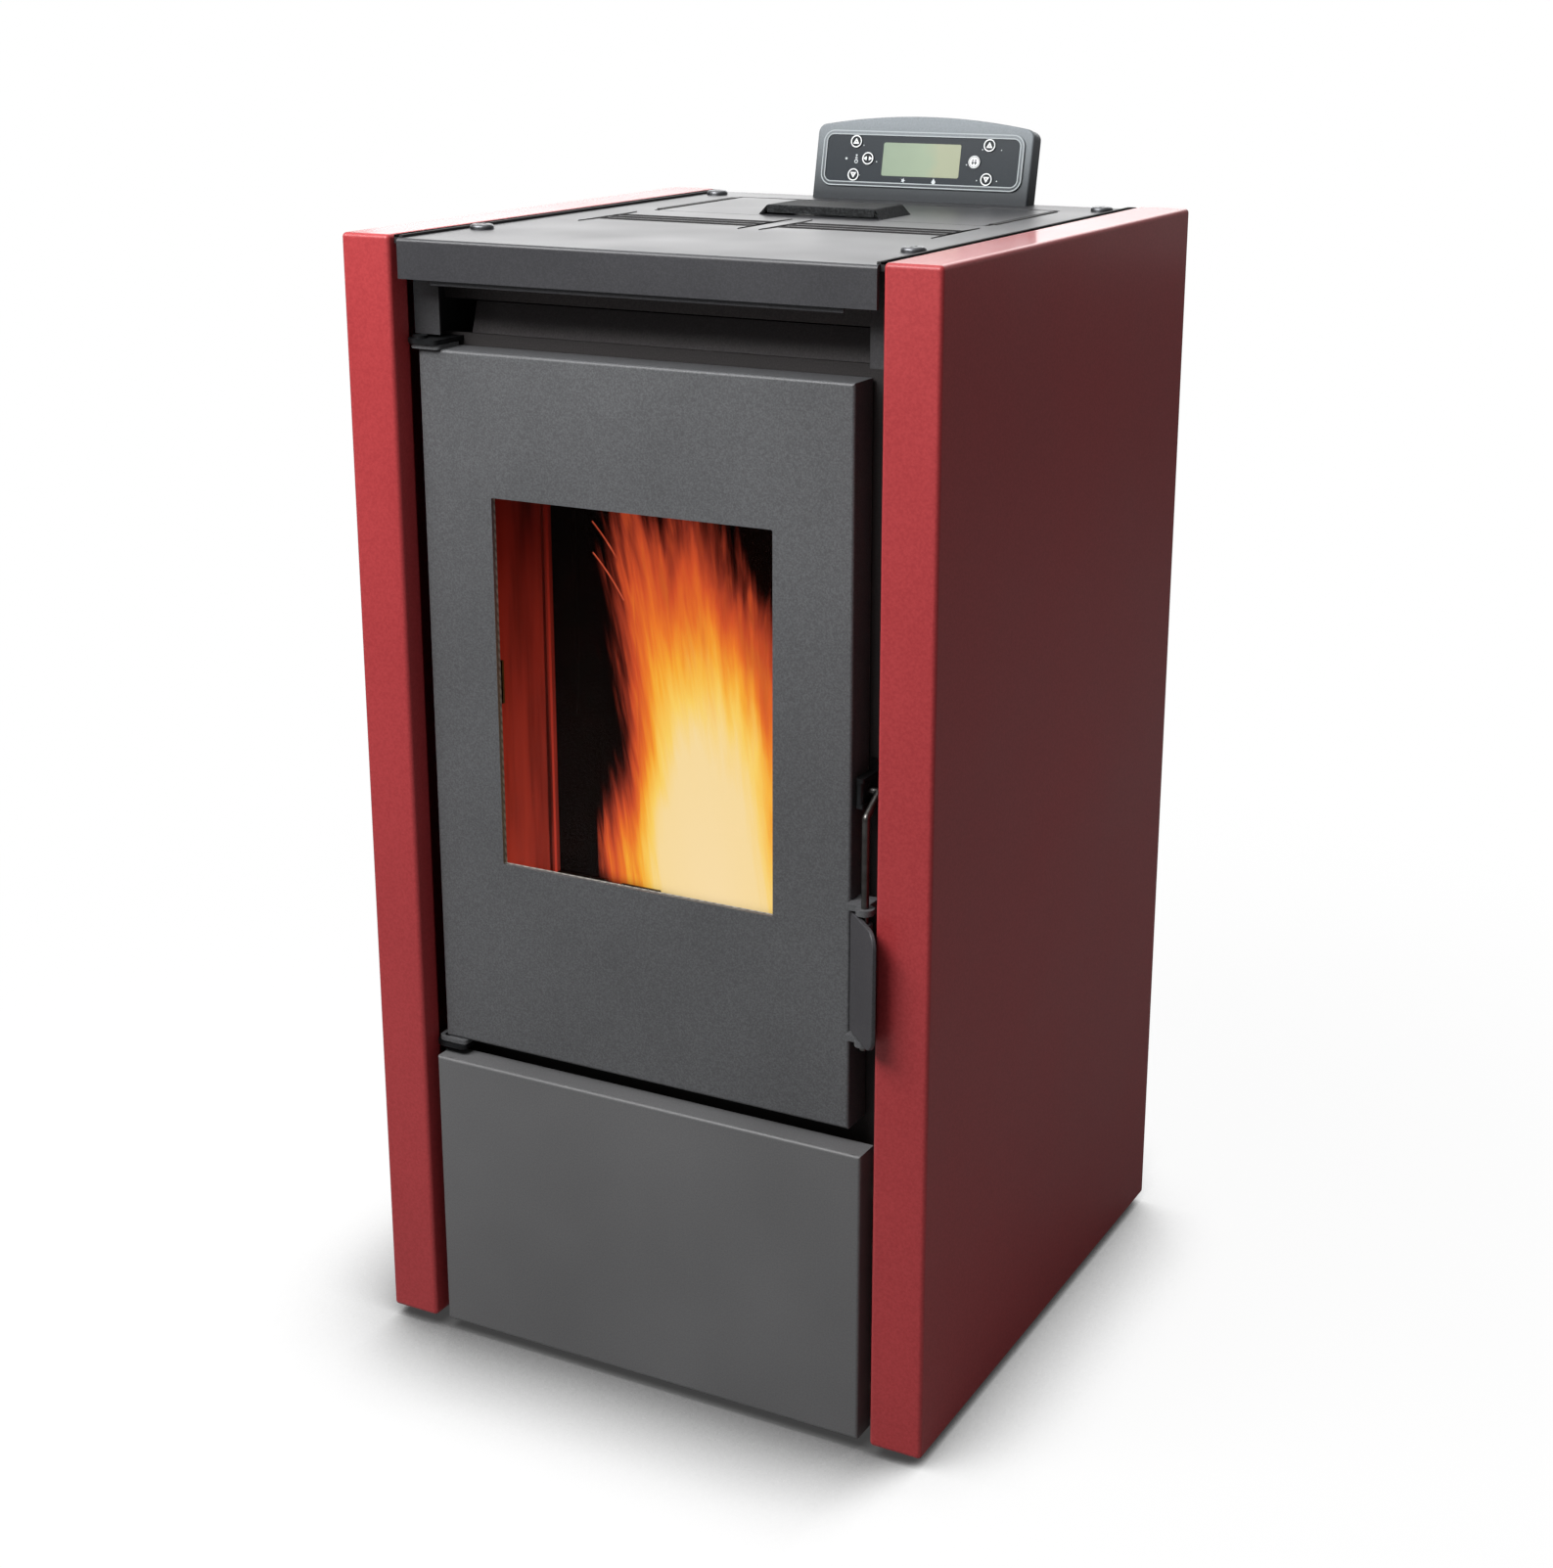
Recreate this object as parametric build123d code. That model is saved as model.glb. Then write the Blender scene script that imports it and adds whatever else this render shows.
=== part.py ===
from build123d import *
import os
from math import atan2, cos, degrees, hypot, radians, sin

# Compact pellet stove with red steel side panels. Millimetres.
# Drawing frame: x to the right, y from the side panels' front to the back,
# z up from the side panels' lower edge. Each piece is moved to the floor
# and to the middle of the stove's outline when it is written.

os.makedirs("parts", exist_ok=True)

# Cabinet
cabinet_width = 430
cabinet_depth = 430
panel_height = 785
panel_flange = 38
panel_sheet = 2
panel_rim = 18
panel_edge_radius = 3
foot_height = 8
foot_radius = 15
foot_stud_radius = 4
foot_chamfer = 1.2
foot_shoulder_radius = 7
foot_stud_rise = 14
foot_nut_radius = 6.8
foot_nut_height = 5
foot_inset_x = 32
foot_inset_y = 45
base_rise = 4
base_sheet = 3
chassis_sheet = 1.5
upright_setback = 25
upright_width = 20
chassis_top_flange = 27
chassis_plate_flange = 11
lower_upright_gap = 5
screw_clearance = 0.1

# Top cover and its slots
cover_sheet = 3
cover_drop = 2
cover_side_gap = 5
cover_front_setback = 2
cover_rear_setback = 2
cover_lip_height = 26
slot_rows = 3
slot_row_pitch = 14
slot_width = 4
slot_lid_gap = 73
slot_inner_x = 10
cover_screw_radius = 8
cover_screw_head = 3.2
cover_screw_shank = 3
cover_screw_length = 14
cover_screw_inset = 13
cover_screw_front_y = 80
cover_screw_rear_inset = 30

# Hopper lid
lid_inset = 44
lid_rear_inset = 44
lid_depth = 128
lid_lift = 0.3
lid_side_gap = 4
lid_front_gap = 1
lid_rear_gap = 4
lid_corner = 2
lid_opening_corner = 3
lid_skirt_depth = 10
lid_skirt_inset = 8
lid_skirt_sheet = 1.5
lid_knuckle_radius = 1.6
lid_pin_radius = 0.8
lid_knuckle_length = 12
lid_knuckle_gap = 0.3
lid_knuckle_inset = 38
lid_axis_drop = 1.2
lid_web = 2
lid_handle_length = 124
lid_handle_depth = 38
lid_handle_height = 11
lid_handle_sheet = 2.5
lid_handle_front = 9
lid_handle_nose = 4

# Firebox front plate and fire door
front_plate_y = 42
front_plate_sheet = 3
front_plate_drop = 20
front_plate_rise = 8
mouth_side_inset = 28
mouth_bottom_inset = 19
mouth_top_inset = 25
mouth_radius = 10
plate_screw_radius = 4.5
plate_screw_head = 2.5
plate_screw_margin = 9
plate_corner = 1
door_left_gap = 9
door_right_gap = 25
door_bottom_gap = 11
air_outlet_height = 46
door_front_y = 15
door_depth = 25
door_sheet = 2.5
door_edge_radius = 2
window_left_inset = 54
window_right_inset = 56
window_sill_rise = 139
window_head_drop = 95
window_corner = 1
glass_overlap = 8
glass_thickness = 4
glass_tape = 2
glass_corner = 2
glass_chamfer = 0.5
inner_frame_setback = 18
inner_frame_sheet = 2
inner_frame_margin = 20
inner_frame_corner = 8
rope_width = 8
rope_gap = 0.3
rope_cover = 4
rope_corner = 12
clip_width = 30
clip_reach = 7
clip_foot = 8
clip_sheet = 2
clip_gap = 0.5
clip_screw_radius = 3.2
clip_screw_head = 2.5

# Door hinges
hinge_axis_setback = 3
hinge_pin_radius = 3
hinge_fit = 0.08
hinge_plate = 3
hinge_washer_gap = 0.3
hinge_eye_radius = 6
hinge_leaf_reach = 18
hinge_leaf_gap = 2
hinge_leaf_corner = 3
hinge_pin_end_gap = 0.2
hinge_pin_head = 2
bracket_radius = 8
bracket_corner = 4
bracket_side_gap = 0.5

# Door latch
latch_side_gap = 14
latch_y = 8
latch_rod_radius = 2.5
latch_fit = 0.06
latch_tail = 9
latch_rod_rise = 66
latch_hook_rise = 12
latch_arm = 18.5
latch_finger = 6
latch_bend_radius = 2.6
handle_bottom_inset = 72
handle_height = 82
handle_sheet = 3
handle_inner_run = 13
handle_outer_run = 30
handle_angle = 45
handle_corner_radius = 11
handle_barrel_radius = 5
handle_barrel_length = 20
handle_barrel_margin = 4
handle_edge_radius = 0.8
ear_sheet = 4
ear_radius = 6
ear_gap = 2
ear_root_depth = 14
striker_pin_radius = 2.5
striker_pin_x = -9.5
striker_pin_y = 10.9
striker_gap = 14
striker_sheet = 3
striker_margin = 10

# Lower front panel
lower_left_gap = 9
lower_right_gap = 10
lower_height = 210
lower_front_y = 2.5
lower_depth = 20
lower_sheet = 2
lower_rim = 14
magnet_radius = 6
magnet_gap = 0.3
magnet_margin = 1

# Firebox
chamber_side_inset = 9
chamber_back_gap = 21
chamber_floor_inset = 17
chamber_roof_inset = 10
shell_sheet = 3
lining_thickness = 6
lining_top_gap = 11
chamber_depth = 100
back_lining_drop = 61
back_rib_height = 2
back_rib_width = 9
back_rib_count = 9
back_rib_angle = 60
rib_chute_gap = 20
rib_top_gap = 12
fin_count = 9
fin_height = 28
fin_sheet = 2.5
fin_front_gap = 27
fin_margin = 15
shelf_rise = 65
shelf_sheet = 4
shelf_slot_first = 76
shelf_slot_pitch = 16
shelf_slots = 4
shelf_slot_length = 70
shelf_slot_width = 6
pot_back_gap = 2
pot_width = 98
pot_depth = 78
pot_taper = 8
pot_height = 41
pot_wall = 4
pot_rim = 7
pot_corner = 9
pot_lift = 0.3
pot_gap = 1
pot_hole_radius = 2.5
pot_hole_columns = 5
pot_hole_rows = 4
pot_hole_pitch_x = 14
pot_hole_pitch_y = 13
pot_side_holes = 4
pot_side_hole_pitch = 18
pot_side_hole_rise = 24.6
ash_pan_side_gap = 7
ash_pan_height = 24
ash_pan_sheet = 1.5
ash_pull_length = 70
ash_pull_reach = 6
ash_pull_drop = 7
ash_pan_front_gap = 7
ash_pan_rear_gap = 3
baffle_gap = 13
baffle_rise = 28
baffle_height = 15
baffle_depth = 34
baffle_slope_rise = 13.6
baffle_sheet = 1.5

# Hopper and auger
hopper_side_gap = 25.5
hopper_front_lap = 8
hopper_rear_gap = 12.5
hopper_sheet = 1.5
hopper_bin_height = 180
hopper_mouth_lap = 8
hopper_mouth_rear_lap = 6
throat_rise = 84
throat_drop = 20
throat_width = 48
throat_setback = 68
tube_seat_gap = 0.05
grille_rise = 100
grille_bar_radius = 2
grille_bars = 9
grille_bar_inset = 12
auger_low_setback = 102
auger_low_z = 330
auger_high_gap = 37
auger_lift = 160
auger_tail = 14
tube_radius = 28
tube_wall = 2
tube_cap = 3
screw_radius = 23.5
screw_shaft_radius = 6
screw_pitch = 36
screw_flight_angle = 36
screw_bearing_gap = 0.08
gearbox_size = 58
gearbox_depth = 26
gearbox_corner = 6
auger_motor_radius = 25
auger_motor_length = 30
chute_width = 52
chute_sheet = 2
chute_top_margin = 4
chute_drop_length = 54
chute_mouth_rise = 53
chute_mouth_height = 52

# Igniter, air inlet, smoke path
igniter_radius = 5
igniter_drop = 18
igniter_sleeve_radius = 8
igniter_sleeve_inset = 12
igniter_flange = 3
igniter_flange_rim = 5
igniter_hole_gap = 0.3
igniter_tail = 40
inlet_inset_x = 75.5
inlet_rise = 30
inlet_radius = 25
inlet_wall = 1.5
inlet_reach = 40
pipe_step = 1
pipe_hole_gap = 0.6
smoke_motor_side_gap = 5.5
smoke_duct_width = 36
smoke_duct_sheet = 1.5
smoke_duct_knee = 55
smoke_duct_margin = 8
smoke_hole_rise = 6
smoke_hole_height = 44
fan_rear_gap = 126.5
smoke_fan_z = 112
smoke_fan_width = 76
smoke_fan_radius = 72
smoke_fan_sheet = 2
smoke_eye_radius = 36
impeller_radius = 60
impeller_blades = 8
impeller_blade_width = 34
impeller_disc = 2
impeller_end_gap = 8
impeller_blade_sheet = 2
impeller_blade_lean = 12
impeller_blade_offset = 5
impeller_root_lap = 3
impeller_hub_radius = 11
fan_shaft_radius = 4
fan_shaft_fit = 0.06
fan_shaft_room = 2
smoke_motor_radius = 32
smoke_motor_length = 50
smoke_shaft_end = 14
motor_edge_radius = 4
flue_radius = 40
flue_wall = 1.5
flue_reach = 45
flue_flange = 46
flue_flange_sheet = 3
flue_flange_corner = 8
flue_start_reach = 96

# Room-air blower
drum_inset = 15.5
blower_motor_gap = 10.5
drum_radius = 28
drum_blades = 20
drum_blade_sheet = 1.2
drum_blade_depth = 7
drum_blade_inset = 0.6
drum_blade_lean = 28
drum_disc = 1.5
drum_z = 112
blower_gap = 5
blower_sheet = 1.5
blower_outlet_rise = 93
blower_end_gap = 2
blower_shaft_radius = 3
blower_shaft_end = 14
blower_back_wall = 70.68
blower_motor_radius = 26
blower_motor_length = 32

# Back panel, power inlet, control board
rear_sheet = 1.5
rear_side_gap = 0.5
rear_bottom = 8
rear_flange = 15
rear_screw_radius = 5
rear_screw_shank = 2
grille_slot_count = 8
grille_slot_pitch = 11
grille_slot_width = 5
grille_slot_length = 120
grille_slot_z = 70
grille_upper_rise = 400
rear_corner = 2
rear_screw_head = 2.4
rear_screw_length = 9
rear_screw_low = 40
rear_screw_drop = 45
inlet_module_inset = 36.5
inlet_module_z = 60
inlet_module_width = 34
inlet_module_height = 64
inlet_module_depth = 26
inlet_bezel = 3
module_lap = 3
module_gap = 0.2
module_corner = 3
socket_width = 25
socket_height = 18
socket_depth = 18
socket_rise = 20
socket_pin_pitch = 7
socket_pin_step = 5
socket_pin_width = 2
socket_pin_height = 4
socket_pin_setback = 4
rocker_width = 22
rocker_height = 15
rocker_gap = 0.4
rocker_drop = 16
rocker_well_depth = 12
rocker_root_depth = 5
rocker_root_height = 6.8
rocker_rise = 2.6
rocker_dip = 1
rocker_shoulder = 0.4
rocker_end_gap = 0.6
rocker_axis_inset = 1.5
rocker_tilt = 8
board_front_gap = 25
board_z = 320
board_length = 120
board_height = 110
board_sheet = 1.6
board_standoff = 9
board_margin = 8
standoff_radius = 3
board_part_gap = 14
transformer_length = 38
transformer_height = 32
transformer_depth = 26
terminal_length = 46
terminal_height = 12
terminal_depth = 12
relay_count = 4
relay_length = 10
relay_pitch = 14
relay_height = 20
relay_depth = 15
capacitor_count = 3
capacitor_radius = 6
capacitor_pitch = 15
capacitor_depth = 18

# Control panel
control_x = 6
control_rear_gap = 16
control_tilt = 12
control_width = 178
control_side_height = 55
control_arch = 8
control_thickness = 14
control_corner = 7
control_base = 8
frame_width = 166
frame_height = 42
frame_band = 3.5
frame_relief = 1.4
frame_corner = 9
frame_rise = 1
overlay_gap = 0.2
screen_corner = 1.5
control_edge_radius = 1.5
overlay_thickness = 0.8
screen_width = 64
screen_height = 25
key_radius = 4.8
key_gap = 0.3
key_proud = 0.9
key_depth = 1.6
key_travel_room = 1
key_outer_x = 55
key_inner_x = 44
key_row_rise = 12.5

# Cabinet places
half_width = cabinet_width / 2
inner_x = half_width - panel_flange
chassis_x = inner_x - chassis_sheet
cover_top = panel_height - cover_drop
cover_bottom = cover_top - cover_sheet
cover_x = inner_x - cover_side_gap
cover_screw_x = cover_x - cover_screw_inset
cover_screw_rear_y = cabinet_depth - cover_screw_rear_inset
rear_inner_y = cabinet_depth - panel_sheet - rear_sheet
plate_rear_y = front_plate_y + front_plate_sheet

# Door, lower panel and window places
door_left = -inner_x + door_left_gap
door_right = inner_x - door_right_gap
door_bottom = lower_height + door_bottom_gap
door_top = cover_top - cover_lip_height - air_outlet_height
door_back_y = door_front_y + door_depth
lower_left = -inner_x + lower_left_gap
lower_right = inner_x - lower_right_gap
window_left = door_left + window_left_inset
window_right = door_right - window_right_inset
window_bottom = door_bottom + window_sill_rise
window_top = door_top - window_head_drop
mouth_left = door_left + mouth_side_inset
mouth_right = door_right - mouth_side_inset
mouth_bottom = door_bottom + mouth_bottom_inset
mouth_top = door_top - mouth_top_inset
front_plate_bottom = lower_height - front_plate_drop
front_plate_top = door_top + front_plate_rise
hinge_plate_right = door_left + hinge_leaf_reach

# Latch places
latch_x = door_right + latch_side_gap
handle_bottom = door_bottom + handle_bottom_inset
handle_top = handle_bottom + handle_height
latch_bottom = handle_bottom - latch_tail
latch_bend = handle_top + latch_rod_rise
latch_top = latch_bend + latch_hook_rise
handle_turn = radians(handle_angle)
handle_gap = latch_rod_radius + handle_sheet / 2
handle_cap = (handle_gap + handle_sheet / 2) * cos(handle_turn)
handle_front_y = latch_y - handle_outer_run * sin(handle_turn) - handle_cap

# Firebox places
firebox_centre_x = (door_left + door_right) / 2
chamber_left = door_left + chamber_side_inset
chamber_right = door_right - chamber_side_inset
chamber_width = chamber_right - chamber_left
chamber_floor = door_bottom + chamber_floor_inset
chamber_roof = door_top - chamber_roof_inset
back_lining_y = plate_rear_y + chamber_depth
back_lining_top = chamber_roof - back_lining_drop
chamber_back_y = back_lining_y + lining_thickness + chamber_back_gap
shell_rear_y = chamber_back_y + shell_sheet
shell_top = chamber_roof + shell_sheet
fin_front_y = plate_rear_y + fin_front_gap
shelf_z = chamber_floor + shelf_rise
pot_y = back_lining_y - pot_back_gap - pot_rim - pot_depth / 2
ash_pan_width = mouth_right - mouth_left - 2 * ash_pan_side_gap
ash_pan_front_y = plate_rear_y + ash_pan_front_gap
ash_pan_rear_y = back_lining_y - ash_pan_rear_gap
baffle_y = plate_rear_y + baffle_gap
baffle_bottom = door_top + baffle_rise
igniter_z = shelf_z - igniter_drop
igniter_rear_y = shell_rear_y + igniter_tail
inlet_x = -chassis_x + inlet_inset_x
inlet_z = chamber_floor + inlet_rise
inlet_inner_radius = inlet_radius - pipe_step

# Lid, hopper and auger places
lid_width = 2 * (cover_x - lid_inset)
lid_rear_y = cabinet_depth - lid_rear_inset
lid_front_y = lid_rear_y - lid_depth
lid_axis_y = lid_rear_y + lid_rear_gap / 2
lid_axis_z = cover_top - lid_axis_drop
lid_knuckle_x = lid_width / 2 - lid_knuckle_inset
slot_first_y = lid_front_y - slot_lid_gap
slot_outer_x = lid_width / 2 + lid_side_gap
hopper_width = 2 * (chassis_x - hopper_side_gap)
hopper_front_y = lid_front_y - hopper_front_lap
hopper_rear_y = rear_inner_y - hopper_rear_gap
hopper_straight_bottom = cover_bottom - hopper_bin_height
hopper_mouth_width = lid_width - 2 * hopper_mouth_lap
hopper_mouth_front = lid_front_y + hopper_mouth_lap
hopper_mouth_rear = lid_rear_y - hopper_mouth_rear_lap
grille_z = hopper_straight_bottom + grille_rise
auger_low_y = hopper_front_y + auger_low_setback
auger_high_y = shell_rear_y + auger_high_gap
auger_high_z = auger_low_z + auger_lift
throat_front_y = hopper_front_y + throat_setback
throat_z = auger_low_z + throat_rise
throat_bottom = auger_low_z + throat_drop
chute_mouth_z = shelf_z + shelf_sheet + chute_mouth_rise

# Fan, flue and rear places
fan_y = rear_inner_y - fan_rear_gap
flue_start_y = fan_y + flue_start_reach
flue_end_y = cabinet_depth - panel_sheet + flue_reach
fan_right = chassis_x - smoke_motor_side_gap - smoke_motor_length
fan_left = fan_right - smoke_fan_width
smoke_duct_left = fan_left - smoke_duct_width
drum_left = -chassis_x + drum_inset
drum_right = smoke_duct_left - blower_motor_gap - blower_motor_length - blower_sheet - blower_end_gap
blower_outlet_top = drum_z + blower_outlet_rise
inlet_module_x = chassis_x - inlet_module_inset
board_y = shell_rear_y + board_front_gap
control_y = cabinet_depth - control_rear_gap
origin_y = (handle_front_y + flue_end_y) / 2


def block(x0, x1, y0, y1, z0, z1):
    centre = Pos((x0 + x1) / 2, (y0 + y1) / 2, (z0 + z1) / 2)
    return centre * Box(x1 - x0, y1 - y0, z1 - z0)


def bar_x(x0, x1, y, z, radius):
    return Pos((x0 + x1) / 2, y, z) * Rot(0, 90, 0) * Cylinder(radius, x1 - x0)


def bar_y(y0, y1, x, z, radius):
    return Pos(x, (y0 + y1) / 2, z) * Rot(-90, 0, 0) * Cylinder(radius, y1 - y0)


def bar_z(z0, z1, x, y, radius):
    return Pos(x, y, (z0 + z1) / 2) * Cylinder(radius, z1 - z0)


def upright_plate(x0, x1, z0, z1, y0, y1, radius):
    # plate that faces the front, with rounded corners
    middle = Pos((x0 + x1) / 2, (z0 + z1) / 2)
    face = Plane.XZ.offset(-y1) * middle * RectangleRounded(x1 - x0, z1 - z0, radius)
    return extrude(face, amount=y1 - y0)


def flat_plate(x0, x1, y0, y1, z0, z1, radius):
    # plate that lies flat, with rounded corners
    face = Pos((x0 + x1) / 2, (y0 + y1) / 2, z0) * RectangleRounded(x1 - x0, y1 - y0, radius)
    return extrude(face, amount=z1 - z0)


def side_profile(points, x0, x1):
    # outline drawn in y and z, carried across the stove
    face = Plane.YZ.offset(x0) * Polygon(*points, align=None)
    return extrude(face, amount=x1 - x0, dir=(1, 0, 0))


def save(name, *solids):
    place = Pos(0, -origin_y, foot_height)
    placed = [place * solid for solid in solids]
    piece = placed[0] if len(placed) == 1 else Compound(children=placed)
    export_step(piece, f"parts/{name}.step")


def mirrored(solid):
    return mirror(solid, about=Plane.YZ)


# Side panels: folded trays with a rim round the open inner face
def side_panel():
    outer = block(inner_x, half_width, 0, cabinet_depth, 0, panel_height)
    outer = fillet(outer.edges(), panel_edge_radius)
    hollow = block(
        inner_x + panel_sheet, half_width - panel_sheet,
        panel_sheet, cabinet_depth - panel_sheet,
        panel_sheet, panel_height - panel_sheet,
    )
    mouth = block(
        inner_x - 1, inner_x + panel_sheet + 1,
        panel_rim, cabinet_depth - panel_rim,
        panel_rim, panel_height - panel_rim,
    )
    return outer - hollow - mouth


right_panel = side_panel()
save("right_side_panel", right_panel)
save("left_side_panel", mirrored(right_panel))

# Base plate with holes for the feet
foot_x = chassis_x - foot_inset_x
foot_rows = (foot_inset_y, cabinet_depth - foot_inset_y)
base_top = base_rise + base_sheet
foot_places = [(side * foot_x, row) for side in (-1, 1) for row in foot_rows]
base = block(
    -chassis_x, chassis_x,
    upright_setback + chassis_sheet, rear_inner_y - chassis_sheet,
    base_rise, base_top,
)
for place_x, place_y in foot_places:
    base -= bar_z(base_rise - 1, base_top + 1, place_x, place_y, foot_stud_radius + screw_clearance)
save("base_plate", base)


# Levelling feet: pad, shoulder, stud and lock nut
def levelling_foot(place_x, place_y):
    pad = bar_z(-foot_height, -foot_height / 2, place_x, place_y, foot_radius)
    pad = chamfer(pad.edges().group_by(Axis.Z)[-1], foot_chamfer)
    shoulder = bar_z(-foot_height / 2, base_rise, place_x, place_y, foot_shoulder_radius)
    stud = bar_z(base_rise, base_top + foot_stud_rise, place_x, place_y, foot_stud_radius)
    nut_face = Pos(place_x, place_y, base_top) * RegularPolygon(foot_nut_radius, 6)
    nut = extrude(nut_face, amount=foot_nut_height)
    return pad + shoulder + stud + nut


save("levelling_feet", *[levelling_foot(*place) for place in foot_places])

# Chassis sides: wall with front uprights, a top flange and a rear flange
cover_screw_hole = cover_screw_shank + screw_clearance
rear_screw_hole = rear_screw_shank + screw_clearance
lower_top = lower_height - lower_upright_gap
upper_bottom = front_plate_top
flange_top = cover_bottom
flange_under = flange_top - chassis_sheet
rear_screw_rows = (rear_screw_low, panel_height / 2, panel_height - rear_screw_drop)


def chassis_side():
    outline = [
        (upright_setback, base_rise),
        (rear_inner_y, base_rise),
        (rear_inner_y, flange_top),
        (upright_setback, flange_top),
        (upright_setback, upper_bottom),
        (plate_rear_y, upper_bottom),
        (plate_rear_y, lower_top),
        (upright_setback, lower_top),
    ]
    side = side_profile(outline, chassis_x, inner_x)
    front = inner_x - upright_width
    for low, high in ((base_rise, lower_top), (upper_bottom, flange_under)):
        side += block(front, chassis_x, upright_setback, upright_setback + chassis_sheet, low, high)
    side += block(
        inner_x - chassis_plate_flange, chassis_x,
        plate_rear_y, plate_rear_y + chassis_sheet,
        front_plate_bottom, upper_bottom,
    )
    side += block(
        inner_x - chassis_top_flange, chassis_x,
        upright_setback, rear_inner_y,
        flange_under, flange_top,
    )
    side += block(
        chassis_x - rear_flange, chassis_x,
        rear_inner_y - chassis_sheet, rear_inner_y,
        base_top, flange_under,
    )
    for row in (cover_screw_front_y, cover_screw_rear_y):
        side -= bar_z(flange_under - 1, flange_top + 1, cover_screw_x, row, cover_screw_hole)
    for row in rear_screw_rows:
        side -= bar_y(
            rear_inner_y - chassis_sheet - 1, rear_inner_y + 1,
            chassis_x - rear_flange / 2, row, rear_screw_hole,
        )
    return side


right_chassis = chassis_side()
save("right_chassis_side", right_chassis)
save("left_chassis_side", mirrored(right_chassis))

# Top cover: plate, front lip, louvre slots, lid opening, fixed hinge knuckles
cover_rear_y = cabinet_depth - cover_rear_setback
cover_profile = [
    (cover_front_setback, cover_top),
    (cover_rear_y, cover_top),
    (cover_rear_y, cover_bottom),
    (cover_front_setback + cover_sheet, cover_bottom),
    (cover_front_setback + cover_sheet, cover_top - cover_lip_height),
    (cover_front_setback, cover_top - cover_lip_height),
]
cover = side_profile(cover_profile, -cover_x, cover_x)
front_fold = cover.edges().filter_by(Axis.X).group_by(Axis.Y)[0].sort_by(Axis.Z)[-1]
cover = fillet(front_fold, cover_sheet * 0.8)
opening = flat_plate(
    -lid_width / 2 - lid_side_gap, lid_width / 2 + lid_side_gap,
    lid_front_y - lid_front_gap, lid_rear_y + lid_rear_gap,
    cover_bottom - 1, cover_top + 1, lid_opening_corner,
)
cover -= opening
slot_x = (slot_inner_x + slot_outer_x) / 2
for row in range(slot_rows):
    for side in (-1, 1):
        slot = SlotOverall(slot_outer_x - slot_inner_x, slot_width)
        slot_y = slot_first_y + row * slot_row_pitch
        cover -= extrude(Pos(side * slot_x, slot_y, cover_bottom - 1) * slot, amount=cover_sheet + 2)
for side in (-1, 1):
    for row in (cover_screw_front_y, cover_screw_rear_y):
        cover -= bar_z(cover_bottom - 1, cover_top + 1, side * cover_screw_x, row, cover_screw_hole)
knuckle_step = lid_knuckle_length + lid_knuckle_gap
knuckle_half = lid_knuckle_length / 2
for side in (-1, 1):
    for step in (-knuckle_step, knuckle_step):
        mid = side * lid_knuckle_x + step
        cover += bar_x(mid - knuckle_half, mid + knuckle_half, lid_axis_y, lid_axis_z, lid_knuckle_radius)
        cover += block(
            mid - knuckle_half, mid + knuckle_half,
            lid_axis_y, lid_rear_y + lid_rear_gap + 1,
            lid_axis_z - lid_web / 2, lid_axis_z + lid_web / 2,
        ) - bar_x(mid - knuckle_half, mid + knuckle_half, lid_axis_y, lid_axis_z, lid_pin_radius)
    low = side * lid_knuckle_x - knuckle_step
    high = side * lid_knuckle_x + knuckle_step
    cover += bar_x(low, high, lid_axis_y, lid_axis_z, lid_pin_radius)
save("top_cover", cover)


def domed_screw(head_radius, head_height, shank_radius, shank_length):
    head = extrude(Circle(head_radius), amount=head_height)
    head = fillet(head.edges().group_by(Axis.Z)[-1], head_height * 0.6)
    slot = Box(head_radius * 1.3, head_radius * 0.16, head_height * 0.7)
    cross = slot + Rot(0, 0, 90) * slot
    shank = extrude(Circle(shank_radius), amount=-shank_length)
    return head + shank - Pos(0, 0, head_height) * cross


cover_screw = domed_screw(cover_screw_radius, cover_screw_head, cover_screw_shank, cover_screw_length)
cover_screw_places = [
    Pos(side * cover_screw_x, row, cover_top)
    for side in (-1, 1)
    for row in (cover_screw_front_y, cover_screw_rear_y)
]
save("top_cover_screws", *[place * cover_screw for place in cover_screw_places])

# Hopper lid: plate, skirt that reaches into the hopper mouth, moving knuckles
lid_bottom = cover_bottom + lid_lift
lid = flat_plate(
    -lid_width / 2, lid_width / 2, lid_front_y, lid_rear_y, lid_bottom, cover_top, lid_corner
)
skirt_x = hopper_mouth_width / 2 - lid_skirt_inset
skirt_front = hopper_mouth_front + lid_skirt_inset
skirt_rear = hopper_mouth_rear - lid_skirt_inset
skirt = block(-skirt_x, skirt_x, skirt_front, skirt_rear, lid_bottom - lid_skirt_depth, lid_bottom)
skirt -= block(
    -skirt_x + lid_skirt_sheet, skirt_x - lid_skirt_sheet,
    skirt_front + lid_skirt_sheet, skirt_rear - lid_skirt_sheet,
    lid_bottom - lid_skirt_depth - 1, lid_bottom,
)
lid += skirt
for side in (-1, 1):
    left = side * lid_knuckle_x - knuckle_half
    right = side * lid_knuckle_x + knuckle_half
    lid += bar_x(left, right, lid_axis_y, lid_axis_z, lid_knuckle_radius)
    lid += block(
        left, right, lid_rear_y - 1, lid_axis_y,
        lid_axis_z - lid_web / 2, lid_axis_z + lid_web / 2,
    )
    lid -= bar_x(left - 1, right + 1, lid_axis_y, lid_axis_z, lid_pin_radius + hinge_fit)
save("hopper_lid", lid)

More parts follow.
